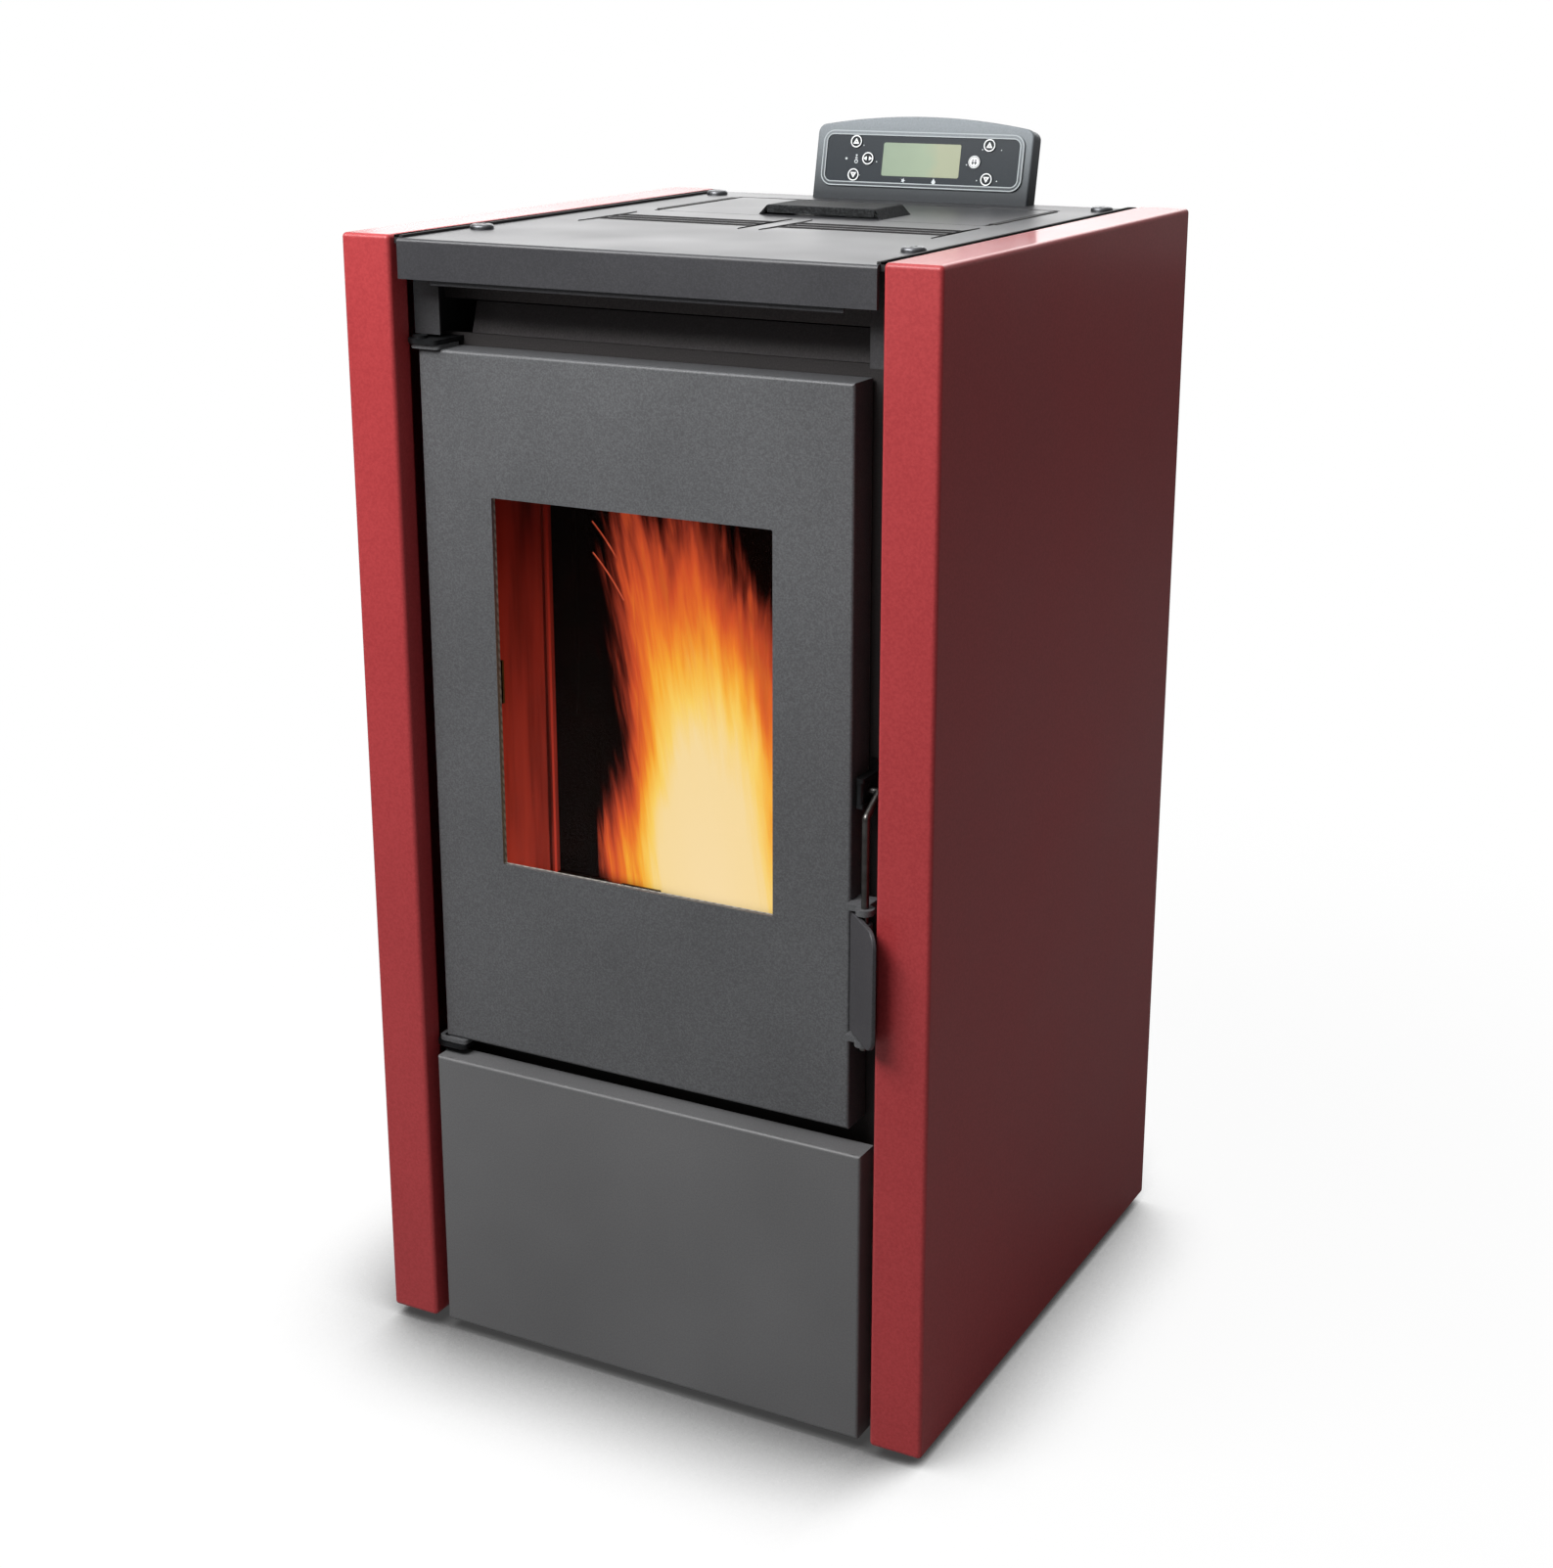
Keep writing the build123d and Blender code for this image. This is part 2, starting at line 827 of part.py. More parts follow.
# Lid handle: bent strip with sloping legs and a short front nose
handle_half = lid_handle_length / 2
handle_lean = lid_handle_height
handle_y0 = lid_front_y + lid_handle_front
handle_y1 = handle_y0 + lid_handle_depth
lean_inset = lid_handle_sheet * 0.42
strip = [
    (-handle_half, 0),
    (-handle_half + handle_lean, lid_handle_height),
    (handle_half - handle_lean, lid_handle_height),
    (handle_half, 0),
    (handle_half - lid_handle_sheet * 1.42, 0),
    (handle_half - handle_lean - lean_inset, lid_handle_height - lid_handle_sheet),
    (-handle_half + handle_lean + lean_inset, lid_handle_height - lid_handle_sheet),
    (-handle_half + lid_handle_sheet * 1.42, 0),
]
strip_face = Plane.XZ.offset(-handle_y1) * Pos(0, cover_top) * Polygon(*strip, align=None)
lid_handle = extrude(strip_face, amount=lid_handle_depth, dir=(0, -1, 0))
nose_top = cover_top + lid_handle_height - lid_handle_sheet
nose_half = handle_half - handle_lean - lid_handle_sheet
lid_handle += block(
    -nose_half, nose_half, handle_y0, handle_y0 + lid_handle_sheet,
    nose_top - lid_handle_nose, nose_top,
)
save("lid_handle", lid_handle)

# Lower front panel: folded tray that pulls straight off four magnets
lower_back_y = lower_front_y + lower_depth
lower = block(lower_left, lower_right, lower_front_y, lower_back_y, 0, lower_height)
lower = fillet(lower.faces().sort_by(Axis.Y)[0].edges(), lower_sheet)
lower -= block(
    lower_left + lower_sheet, lower_right - lower_sheet,
    lower_front_y + lower_sheet, lower_back_y - lower_sheet,
    lower_sheet, lower_height - lower_sheet,
)
lower -= block(
    lower_left + lower_rim, lower_right - lower_rim,
    lower_back_y - lower_sheet - 1, lower_back_y + 1,
    lower_rim, lower_height - lower_rim,
)
save("lower_panel", lower)
magnet_x = inner_x - upright_width + magnet_radius + magnet_margin
magnet_rows = (lower_rim * 2, lower_top - lower_rim * 2)
magnets = [
    bar_y(lower_back_y + magnet_gap, upright_setback, side * magnet_x, row, magnet_radius)
    for side in (-1, 1)
    for row in magnet_rows
]
save("panel_magnets", *magnets)

# Firebox front plate with the door opening and its fixing screws
plate = upright_plate(
    -chassis_x, chassis_x, front_plate_bottom, front_plate_top,
    front_plate_y, plate_rear_y, plate_corner,
)
plate -= upright_plate(
    mouth_left, mouth_right, mouth_bottom, mouth_top,
    front_plate_y - 1, plate_rear_y + 1, mouth_radius,
)
plate_screw_x = (door_right + chassis_x) / 2
for row in (front_plate_bottom + plate_screw_margin, front_plate_top - plate_screw_margin):
    dome = bar_y(front_plate_y - plate_screw_head, front_plate_y, plate_screw_x, row, plate_screw_radius)
    plate += fillet(dome.edges().group_by(Axis.Y)[0], plate_screw_head * 0.6)
save("firebox_front_plate", plate)

# Firebox shell: box of welded plates, open at the front, with fins on its roof
auger_run = hypot(auger_high_y - auger_low_y, auger_high_z - auger_low_z)
auger_dir_y = (auger_high_y - auger_low_y) / auger_run
auger_dir_z = (auger_high_z - auger_low_z) / auger_run


def auger_point(along, across):
    # along runs up the screw from its low end, across points up and back
    return (
        auger_low_y + along * auger_dir_y + across * auger_dir_z,
        auger_low_z + along * auger_dir_z - across * auger_dir_y,
    )


def auger_bar(start, end, radius):
    low_y, low_z = auger_point(start, 0)
    tilt = degrees(atan2(-auger_dir_y, auger_dir_z))
    return Pos(0, low_y, low_z) * Rot(tilt, 0, 0) * extrude(Circle(radius), amount=end - start)


chute_end = auger_run - chute_top_margin
chute_start = chute_end - chute_drop_length
chute_outline = [
    (back_lining_y, chute_mouth_z),
    (back_lining_y, chute_mouth_z + chute_mouth_height),
    auger_point(chute_end, -tube_radius),
    auger_point(chute_end, 0),
    auger_point(chute_start, 0),
    auger_point(chute_start, -tube_radius),
]


def chute_body(inset):
    face = Plane.YZ.offset(-chute_width / 2 + inset) * Polygon(*chute_outline, align=None)
    face = offset(face, amount=-inset) if inset else face
    return extrude(face, amount=chute_width - 2 * inset, dir=(1, 0, 0))


chute_outer = chute_body(0)
smoke_duct_right = smoke_duct_left + smoke_duct_width
duct_hole_low = chamber_floor + smoke_hole_rise
duct_hole_high = duct_hole_low + smoke_hole_height
shell_left = chamber_left - shell_sheet
shell_right = chamber_right + shell_sheet
shell_roof = block(shell_left, shell_right, plate_rear_y, shell_rear_y, chamber_roof, shell_top)
shell_floor = block(
    shell_left, shell_right, plate_rear_y, shell_rear_y, chamber_floor - shell_sheet, chamber_floor
)
shell_walls = [
    block(low, low + shell_sheet, plate_rear_y, shell_rear_y, chamber_floor, chamber_roof)
    for low in (shell_left, chamber_right)
]
shell_back = block(chamber_left, chamber_right, chamber_back_y, shell_rear_y, chamber_floor, chamber_roof)
shell_back -= chute_outer
shell_back -= bar_y(chamber_back_y - 1, shell_rear_y + 1, inlet_x, inlet_z, inlet_inner_radius)
shell_back -= bar_y(
    chamber_back_y - 1, shell_rear_y + 1,
    firebox_centre_x, igniter_z, igniter_sleeve_radius + igniter_hole_gap,
)
shell_back -= block(
    smoke_duct_left + smoke_duct_sheet, smoke_duct_right - smoke_duct_sheet,
    chamber_back_y - 1, shell_rear_y + 1,
    duct_hole_low + smoke_duct_sheet, duct_hole_high - smoke_duct_sheet,
)
fin_pitch = (chamber_width - 2 * fin_margin) / (fin_count - 1)
fins = []
for index in range(fin_count):
    fin_x = firebox_centre_x + (index - (fin_count - 1) / 2) * fin_pitch
    fins.append(block(
        fin_x - fin_sheet / 2, fin_x + fin_sheet / 2,
        fin_front_y, shell_rear_y, shell_top, shell_top + fin_height,
    ))
save("firebox_shell", shell_floor, shell_roof, shell_back, *shell_walls, *fins)

# Linings: two plain side plates and a ribbed back plate
lining_top = chamber_roof - lining_top_gap
side_linings = [
    block(
        edge, edge + lining_thickness,
        plate_rear_y, chamber_back_y - lining_thickness, chamber_floor, lining_top,
    )
    for edge in (chamber_left, chamber_right - lining_thickness)
]
save("firebox_side_linings", *side_linings)
lined_left = chamber_left + lining_thickness
lined_right = chamber_right - lining_thickness
back_lining_rear = back_lining_y + lining_thickness
back_lining = block(
    lined_left, lined_right, back_lining_y, back_lining_rear, chamber_floor, back_lining_top
)
rib_pitch = (lined_right - lined_left) / back_rib_count
rib_bottom = chute_mouth_z + chute_mouth_height + rib_chute_gap
rib_top = back_lining_top - rib_top_gap
for index in range(back_rib_count):
    rib_x = lined_left + (index + 0.5) * rib_pitch
    rib_face = Plane.XY.offset(rib_bottom) * Pos(rib_x, back_lining_y) * Trapezoid(
        back_rib_width, back_rib_height, back_rib_angle, rotation=180, align=(Align.CENTER, Align.MIN)
    )
    back_lining += extrude(rib_face, amount=rib_top - rib_bottom)
back_lining -= chute_outer
back_lining -= bar_y(
    back_lining_y - 1, back_lining_rear + 1, inlet_x, inlet_z, inlet_inner_radius - inlet_wall
)
back_lining -= bar_y(
    back_lining_y - 1, back_lining_rear + 1,
    firebox_centre_x, igniter_z, igniter_radius + screw_clearance,
)
save("firebox_back_lining", back_lining)

# Burn pot shelf with ash slots on both sides of the pot
shelf_top = shelf_z + shelf_sheet
shelf = block(lined_left, lined_right, plate_rear_y, back_lining_y, shelf_z, shelf_top)
shelf -= block(
    firebox_centre_x - pot_width / 2 - pot_gap, firebox_centre_x + pot_width / 2 + pot_gap,
    pot_y - pot_depth / 2 - pot_gap, pot_y + pot_depth / 2 + pot_gap,
    shelf_z - 1, shelf_top + 1,
)
for side in (-1, 1):
    for index in range(shelf_slots):
        slot_x = firebox_centre_x + side * (shelf_slot_first + index * shelf_slot_pitch)
        slot = SlotOverall(shelf_slot_length, shelf_slot_width, rotation=90)
        shelf -= extrude(Pos(slot_x, pot_y, shelf_z - 1) * slot, amount=shelf_sheet + 2)
save("burn_pot_shelf", shelf)

# Burn pot: tapered cup with a rim, air holes in its floor and walls
pot_top = shelf_top + pot_lift
pot_bottom = pot_top - pot_height


def pot_section(z, inset):
    span = (z - pot_bottom) / pot_height
    width = pot_width - 2 * pot_taper * (1 - span) - 2 * inset
    depth = pot_depth - 2 * pot_taper * (1 - span) - 2 * inset
    return Pos(firebox_centre_x, pot_y, z) * Rectangle(width, depth)


def pot_form(inset, low, high):
    form = loft([pot_section(low, inset), pot_section(high, inset)], ruled=True)
    corners = form.edges().filter_by(lambda edge: abs(edge.tangent_at(0.5).Z) > 0.5)
    return fillet(corners, pot_corner - inset)


pot = pot_form(0, pot_bottom, pot_top)
pot += flat_plate(
    firebox_centre_x - pot_width / 2 - pot_rim, firebox_centre_x + pot_width / 2 + pot_rim,
    pot_y - pot_depth / 2 - pot_rim, pot_y + pot_depth / 2 + pot_rim,
    pot_top, pot_top + pot_wall, pot_corner + pot_rim / 2,
)
pot -= pot_form(pot_wall, pot_bottom + pot_wall, pot_top + pot_wall + 1)
for column in range(pot_hole_columns):
    for row in range(pot_hole_rows):
        hole_x = firebox_centre_x + (column - (pot_hole_columns - 1) / 2) * pot_hole_pitch_x
        hole_y = pot_y + (row - (pot_hole_rows - 1) / 2) * pot_hole_pitch_y
        pot -= bar_z(pot_bottom - 1, pot_bottom + pot_wall + 1, hole_x, hole_y, pot_hole_radius)
for column in range(pot_side_holes):
    hole_x = firebox_centre_x + (column - (pot_side_holes - 1) / 2) * pot_side_hole_pitch
    hole_z = pot_bottom + pot_side_hole_rise
    pot -= bar_y(pot_y - pot_depth, pot_y + pot_depth, hole_x, hole_z, pot_hole_radius)
save("burn_pot", pot)

# Ash pan under the pot, with a bent pull at its front
pan_left = firebox_centre_x - ash_pan_width / 2
pan_right = firebox_centre_x + ash_pan_width / 2
pan_top = chamber_floor + ash_pan_height
pan = block(pan_left, pan_right, ash_pan_front_y, ash_pan_rear_y, chamber_floor, pan_top)
pan -= block(
    pan_left + ash_pan_sheet, pan_right - ash_pan_sheet,
    ash_pan_front_y + ash_pan_sheet, ash_pan_rear_y - ash_pan_sheet,
    chamber_floor + ash_pan_sheet, pan_top + 1,
)
pull_z = chamber_floor + ash_pan_height / 2
pull_y = ash_pan_front_y - ash_pull_reach
pull_left = firebox_centre_x - ash_pull_length / 2
pull_right = firebox_centre_x + ash_pull_length / 2
pan += block(pull_left, pull_right, pull_y, ash_pan_front_y, pull_z, pull_z + ash_pan_sheet)
pan += block(pull_left, pull_right, pull_y, pull_y + ash_pan_sheet, pull_z - ash_pull_drop, pull_z)
save("ash_pan", pan)

# Hot-air deflector across the outlet
baffle_top = baffle_bottom + baffle_height
baffle_rear_y = baffle_y + baffle_depth
baffle_profile = [
    (baffle_y, baffle_bottom),
    (baffle_y, baffle_top),
    (baffle_rear_y, baffle_top + baffle_slope_rise),
    (baffle_rear_y, baffle_top + baffle_slope_rise - baffle_sheet),
    (baffle_y + baffle_sheet, baffle_top - baffle_sheet * 0.7),
    (baffle_y + baffle_sheet, baffle_bottom),
]
save("outlet_baffle", side_profile(baffle_profile, -chassis_x, chassis_x))

# Fire door skin: folded tray with the window, hinge leaves and latch ears
hinge_y = door_front_y + hinge_axis_setback
skin = block(door_left, door_right, door_front_y, door_back_y, door_bottom, door_top)
skin = fillet(skin.faces().sort_by(Axis.Y)[0].edges(), door_edge_radius)
skin -= block(
    door_left + door_sheet, door_right - door_sheet,
    door_front_y + door_sheet, door_back_y + 1,
    door_bottom + door_sheet, door_top - door_sheet,
)
skin -= upright_plate(
    window_left, window_right, window_bottom, window_top,
    door_front_y - 1, door_front_y + door_sheet + 1, window_corner,
)
leaf_hole = hinge_pin_radius + hinge_fit


def hinge_leaf(z0, z1, right, radius):
    # plate with a round eye about the door axis
    leaf = block(door_left, right, hinge_y - radius, door_back_y - hinge_leaf_gap, z0, z1)
    leaf = fillet(leaf.edges().filter_by(Axis.Z).sort_by(Axis.X)[-2:], hinge_leaf_corner)
    leaf += block(door_left - radius, door_left, hinge_y, hinge_y + 2 * radius + hinge_leaf_gap, z0, z1)
    return leaf + bar_z(z0, z1, door_left, hinge_y, radius)


for low in (door_bottom - hinge_plate, door_top):
    leaf = hinge_leaf(low, low + hinge_plate, hinge_plate_right, hinge_eye_radius)
    leaf -= bar_z(low - 1, low + hinge_plate + 1, door_left, hinge_y, leaf_hole)
    skin += leaf
ear_rows = (handle_bottom - ear_sheet - ear_gap, handle_top + ear_gap)
for low in ear_rows:
    ear = block(
        door_right, latch_x, latch_y + ear_radius * 0.2, door_front_y + ear_root_depth,
        low, low + ear_sheet,
    )
    ear += bar_z(low, low + ear_sheet, latch_x, latch_y, ear_radius)
    ear += block(latch_x - 1, latch_x + ear_radius * 0.9, latch_y, latch_y + 4, low, low + ear_sheet)
    ear -= bar_z(low - 1, low + ear_sheet + 1, latch_x, latch_y, latch_rod_radius + latch_fit)
    skin += ear
save("door_skin", skin)

# Window glass, its tape, its clips
glass_left = window_left - glass_overlap
glass_right = window_right + glass_overlap
glass_bottom = window_bottom - glass_overlap
glass_top = window_top + glass_overlap
tape_y = door_front_y + door_sheet
glass_y = tape_y + glass_tape
glass_rear_y = glass_y + glass_thickness
tape = upright_plate(glass_left, glass_right, glass_bottom, glass_top, tape_y, glass_y, glass_corner)
tape -= upright_plate(
    window_left, window_right, window_bottom, window_top, tape_y - 1, glass_y + 1, window_corner
)
save("glass_tape", tape)
glass = upright_plate(glass_left, glass_right, glass_bottom, glass_top, glass_y, glass_rear_y, glass_corner)
glass = chamfer(glass.edges().group_by(Axis.Y)[-1], glass_chamfer)
save("door_glass", glass)
glass_mid_x = (glass_left + glass_right) / 2
glass_mid_z = (glass_bottom + glass_top) / 2


def glass_clip():
    # foot beside the glass, tongue over its edge, screw in the foot
    half = clip_width / 2
    outer_y = glass_rear_y + clip_sheet
    foot = block(-clip_foot, -clip_gap, tape_y, glass_rear_y, -half, half)
    tongue = block(-clip_foot, clip_reach, glass_rear_y, outer_y, -half, half)
    head = bar_y(outer_y, outer_y + clip_screw_head, -clip_foot / 2, 0, clip_screw_radius)
    return foot + tongue + head


clip = glass_clip()
clips = [
    Pos(glass_left, 0, glass_mid_z) * clip,
    Pos(glass_right, 0, glass_mid_z) * mirrored(clip),
    Pos(glass_mid_x, 0, glass_bottom) * Rot(0, -90, 0) * clip,
    Pos(glass_mid_x, 0, glass_top) * Rot(0, 90, 0) * clip,
]
save("glass_clips", *clips)

# Door inner frame and the rope seal that meets the front plate
frame_y = door_front_y + inner_frame_setback
frame_rear_y = frame_y + inner_frame_sheet
inner_frame = upright_plate(
    door_left + door_sheet, door_right - door_sheet,
    door_bottom + door_sheet, door_top - door_sheet, frame_y, frame_rear_y, plate_corner,
)
inner_frame -= upright_plate(
    window_left - inner_frame_margin, window_right + inner_frame_margin,
    window_bottom - inner_frame_margin, window_top + inner_frame_margin,
    frame_y - 1, frame_rear_y + 1, inner_frame_corner,
)
save("door_inner_frame", inner_frame)
rope_left = mouth_left - rope_cover - rope_width
rope_right = mouth_right + rope_cover + rope_width
rope_bottom = mouth_bottom - rope_cover - rope_width
rope_top = mouth_top + rope_cover + rope_width
rope_end_y = front_plate_y - rope_gap
rope = upright_plate(rope_left, rope_right, rope_bottom, rope_top, frame_rear_y, rope_end_y, rope_corner)
rope -= upright_plate(
    rope_left + rope_width, rope_right - rope_width,
    rope_bottom + rope_width, rope_top - rope_width,
    frame_rear_y - 1, rope_end_y + 1, rope_corner - rope_width,
)
rope = fillet(rope.edges().group_by(Axis.Y)[-1], rope_width * 0.3)
save("door_rope_seal", rope)

# Fixed hinge brackets with their pins
bracket_lift = hinge_plate + hinge_washer_gap
bracket_top = door_top + bracket_lift + hinge_plate
bracket_parts = []
for low, pin_low, pin_high in (
    (door_top + bracket_lift, door_top + hinge_pin_end_gap, bracket_top),
    (
        door_bottom - bracket_lift - hinge_plate,
        door_bottom - bracket_lift - hinge_plate,
        door_bottom - hinge_pin_end_gap,
    ),
):
    high = low + hinge_plate
    bracket = block(door_left, hinge_plate_right, hinge_y - bracket_radius, front_plate_y, low, high)
    corner = bracket.edges().filter_by(Axis.Z).group_by(Axis.Y)[0].sort_by(Axis.X)[-1]
    bracket = fillet(corner, bracket_corner)
    bracket += block(-inner_x + bracket_side_gap, door_left, hinge_y, front_plate_y, low, high)
    bracket += bar_z(low, high, door_left, hinge_y, bracket_radius)
    bracket += bar_z(pin_low, pin_high, door_left, hinge_y, hinge_pin_radius)
    bracket_parts.append(bracket)
bracket_parts[0] += bar_z(
    bracket_top, bracket_top + hinge_pin_head, door_left, hinge_y, hinge_pin_radius + hinge_pin_head
)
save("door_hinge_brackets", *bracket_parts)

# Latch: rod bent back into a finger, turned by a slanting handle plate
finger_y = latch_y + latch_arm
rod_path = FilletPolyline(
    (latch_x, latch_y, latch_bottom),
    (latch_x, latch_y, latch_bend),
    (latch_x, finger_y, latch_top),
    (latch_x - latch_finger, finger_y, latch_top),
    radius=latch_bend_radius,
)
rod_section = Plane(origin=rod_path @ 0, z_dir=rod_path % 0) * Circle(latch_rod_radius)
latch_rod = sweep(rod_section, path=rod_path)
save("latch_rod", latch_rod)
handle_plane = Plane(
    origin=(latch_x, latch_y, (handle_bottom + handle_top) / 2),
    x_dir=(cos(handle_turn), -sin(handle_turn), 0),
    z_dir=(-sin(handle_turn), -cos(handle_turn), 0),
)
handle_face = Rectangle(handle_inner_run + handle_outer_run, handle_top - handle_bottom)
handle_face = fillet(handle_face.vertices().group_by(Axis.X)[-1], handle_corner_radius)
handle_face = Pos((handle_outer_run - handle_inner_run) / 2, 0, latch_rod_radius) * handle_face
latch_handle = handle_plane * extrude(handle_face, amount=handle_sheet)
latch_handle = fillet(latch_handle.edges().filter_by(Axis.Z), handle_edge_radius)
barrel_low = handle_bottom + handle_barrel_margin
barrel_high = handle_top - handle_barrel_margin - handle_barrel_length
for low in (barrel_low, barrel_high):
    barrel = bar_z(low, low + handle_barrel_length, latch_x, latch_y, handle_barrel_radius)
    latch_handle += barrel
latch_handle -= bar_z(latch_bottom, latch_bend, latch_x, latch_y, latch_rod_radius + latch_fit / 2)
save("latch_handle", latch_handle)

# Striker: fork on the front plate with an upright pin
fork_low = latch_top - striker_gap / 2
fork_high = latch_top + striker_gap / 2
pin_x = latch_x + striker_pin_x
pin_y = latch_y + striker_pin_y
fork_x0 = pin_x - striker_pin_radius
fork_x1 = pin_x + striker_pin_radius + 1
striker = block(
    fork_x0, fork_x1, front_plate_y - striker_sheet, front_plate_y,
    fork_low - striker_margin, fork_high + striker_margin,
)
for low in (fork_low - striker_sheet, fork_high):
    prong = block(
        fork_x0, fork_x1, pin_y - striker_pin_radius, front_plate_y - striker_sheet,
        low, low + striker_sheet,
    )
    prong = fillet(prong.edges().filter_by(Axis.Z).group_by(Axis.Y)[0], 2)
    striker += prong
striker += bar_z(fork_low, fork_high, pin_x, pin_y, striker_pin_radius)
save("latch_striker", striker)

# Hopper of welded sheet: mitred rim flanges, straight bin, funnel and throat over the auger
hopper_x = hopper_width / 2
throat_x = throat_width / 2
throat_rear_y = throat_front_y + throat_width


def corners(x, y0, y1, inset):
    return [
        (-x + inset, y0 + inset), (x - inset, y0 + inset),
        (x - inset, y1 - inset), (-x + inset, y1 - inset),
    ]


def sheet_walls(low, low_z, high, high_z):
    # four mitred walls between a lower and an upper rectangle
    walls = []
    for index in range(4):
        strips = []
        for rectangle, z in ((low, low_z), (high, high_z)):
            outer = corners(*rectangle, 0)
            inner = corners(*rectangle, hopper_sheet)
            after = (index + 1) % 4
            strip = Polygon(outer[index], outer[after], inner[after], inner[index], align=None)
            strips.append(Pos(0, 0, z) * strip)
        walls.append(loft(strips, ruled=True))
    return walls


bin_rectangle = (hopper_x, hopper_front_y, hopper_rear_y)
throat_rectangle = (throat_x, throat_front_y, throat_rear_y)
bin_walls = sheet_walls(bin_rectangle, hopper_straight_bottom, bin_rectangle, flange_under)
funnel_walls = sheet_walls(throat_rectangle, throat_z, bin_rectangle, hopper_straight_bottom)
tube_room = auger_bar(-auger_tail, auger_run, tube_radius + tube_seat_gap)
throat_walls = [
    wall - tube_room
    for wall in sheet_walls(throat_rectangle, throat_bottom, throat_rectangle, throat_z)
]
rim_outer = corners(*bin_rectangle, 0)
rim_inner = corners(hopper_mouth_width / 2, hopper_mouth_front, hopper_mouth_rear, 0)
rim_flanges = []
for index in range(4):
    after = (index + 1) % 4
    flange = Polygon(rim_outer[index], rim_outer[after], rim_inner[after], rim_inner[index], align=None)
    flange = Pos(0, 0, flange_under) * flange
    rim_flanges.append(extrude(flange, flange_top - flange_under, dir=(0, 0, 1)))
save("hopper", *rim_flanges, *bin_walls, *funnel_walls, *throat_walls)

# Safety grille that keeps hands away from the auger
grille_front = hopper_front_y + hopper_sheet
grille_rear = hopper_rear_y - hopper_sheet
grille_inner_x = hopper_x - hopper_sheet
grille = bar_x(
    -grille_inner_x, grille_inner_x, grille_front + grille_bar_inset, grille_z, grille_bar_radius
)
grille += bar_x(
    -grille_inner_x, grille_inner_x, grille_rear - grille_bar_inset, grille_z, grille_bar_radius
)
bar_pitch = 2 * grille_inner_x / (grille_bars + 1)
for index in range(grille_bars):
    bar_place = -grille_inner_x + (index + 1) * bar_pitch
    grille += bar_y(grille_front, grille_rear, bar_place, grille_z, grille_bar_radius)
save("hopper_grille", grille)

# Auger tube with its caps, feed opening and drop chute into the firebox
tube = auger_bar(-auger_tail, auger_run, tube_radius)
tube -= auger_bar(-auger_tail + tube_cap, auger_run - tube_cap, tube_radius - tube_wall)
tube -= auger_bar(-auger_tail - 1, auger_run + 1, screw_shaft_radius + screw_bearing_gap)
tube -= block(
    -throat_width / 2 + hopper_sheet, throat_width / 2 - hopper_sheet,
    throat_front_y + hopper_sheet, throat_rear_y - hopper_sheet,
    throat_bottom - 5, throat_z + tube_radius,
)
chute_hollow = chute_body(chute_sheet)
chute = chute_outer - auger_bar(-auger_tail, auger_run, tube_radius - tube_wall / 2) - chute_hollow
chute -= block(
    -chute_width / 2 + chute_sheet, chute_width / 2 - chute_sheet,
    back_lining_y - 1, back_lining_y + chute_sheet * 2,
    chute_mouth_z + chute_sheet, chute_mouth_z + chute_mouth_height - chute_sheet,
)
tube = tube - chute_hollow + chute
save("auger_tube", tube)

# Auger screw: shaft with one flight, cut from a twisted sector
screw_start = -auger_tail + tube_cap + 1
screw_end = auger_run - tube_cap - 1
flight_length = screw_end - screw_start - 6
sector = Circle(screw_radius) - Circle(screw_shaft_radius - 1)
wedge_reach = screw_radius * 3
half_flight = radians(screw_flight_angle / 2)
sector &= Polygon(
    (0, 0),
    (wedge_reach * cos(half_flight), -wedge_reach * sin(half_flight)),
    (wedge_reach * cos(half_flight), wedge_reach * sin(half_flight)),
    align=None,
)
flight = Solid.extrude_linear_with_rotation(
    sector.face().outer_wire(), (0, 0, 0), (0, 0, flight_length), 360 * flight_length / screw_pitch
)
screw_low_y, screw_low_z = auger_point(screw_start + 3, 0)
screw_tilt = degrees(atan2(-auger_dir_y, auger_dir_z))
shaft = auger_bar(-auger_tail - gearbox_depth / 2, auger_run, screw_shaft_radius)
auger_screw = shaft + Pos(0, screw_low_y, screw_low_z) * Rot(screw_tilt, 0, 0) * flight
save("auger_screw", auger_screw)

# Auger gear motor on the low cap
gear_face = RectangleRounded(gearbox_size, gearbox_size, gearbox_corner)
gear_low_y, gear_low_z = auger_point(-auger_tail - gearbox_depth, 0)
gear_place = Pos(0, gear_low_y, gear_low_z) * Rot(screw_tilt, 0, 0)
gear_motor = gear_place * extrude(gear_face, amount=gearbox_depth)
gear_end = -auger_tail - gearbox_depth
gear_motor += auger_bar(gear_end - auger_motor_length, gear_end, auger_motor_radius)
gear_motor -= auger_bar(
    -auger_tail - gearbox_depth / 2 - 1, -auger_tail + 1, screw_shaft_radius + screw_bearing_gap
)
save("auger_gear_motor", gear_motor)

# Igniter: ceramic rod in a sleeve that ends behind the burn pot
pot_clear_y = pot_y + pot_depth / 2 + pot_gap
igniter = bar_y(pot_clear_y, igniter_rear_y, firebox_centre_x, igniter_z, igniter_radius)
igniter += bar_y(
    back_lining_rear, igniter_rear_y - igniter_sleeve_inset,
    firebox_centre_x, igniter_z, igniter_sleeve_radius,
)
igniter += bar_y(
    shell_rear_y, shell_rear_y + igniter_flange,
    firebox_centre_x, igniter_z, igniter_sleeve_radius + igniter_flange_rim,
)
save("igniter", igniter)

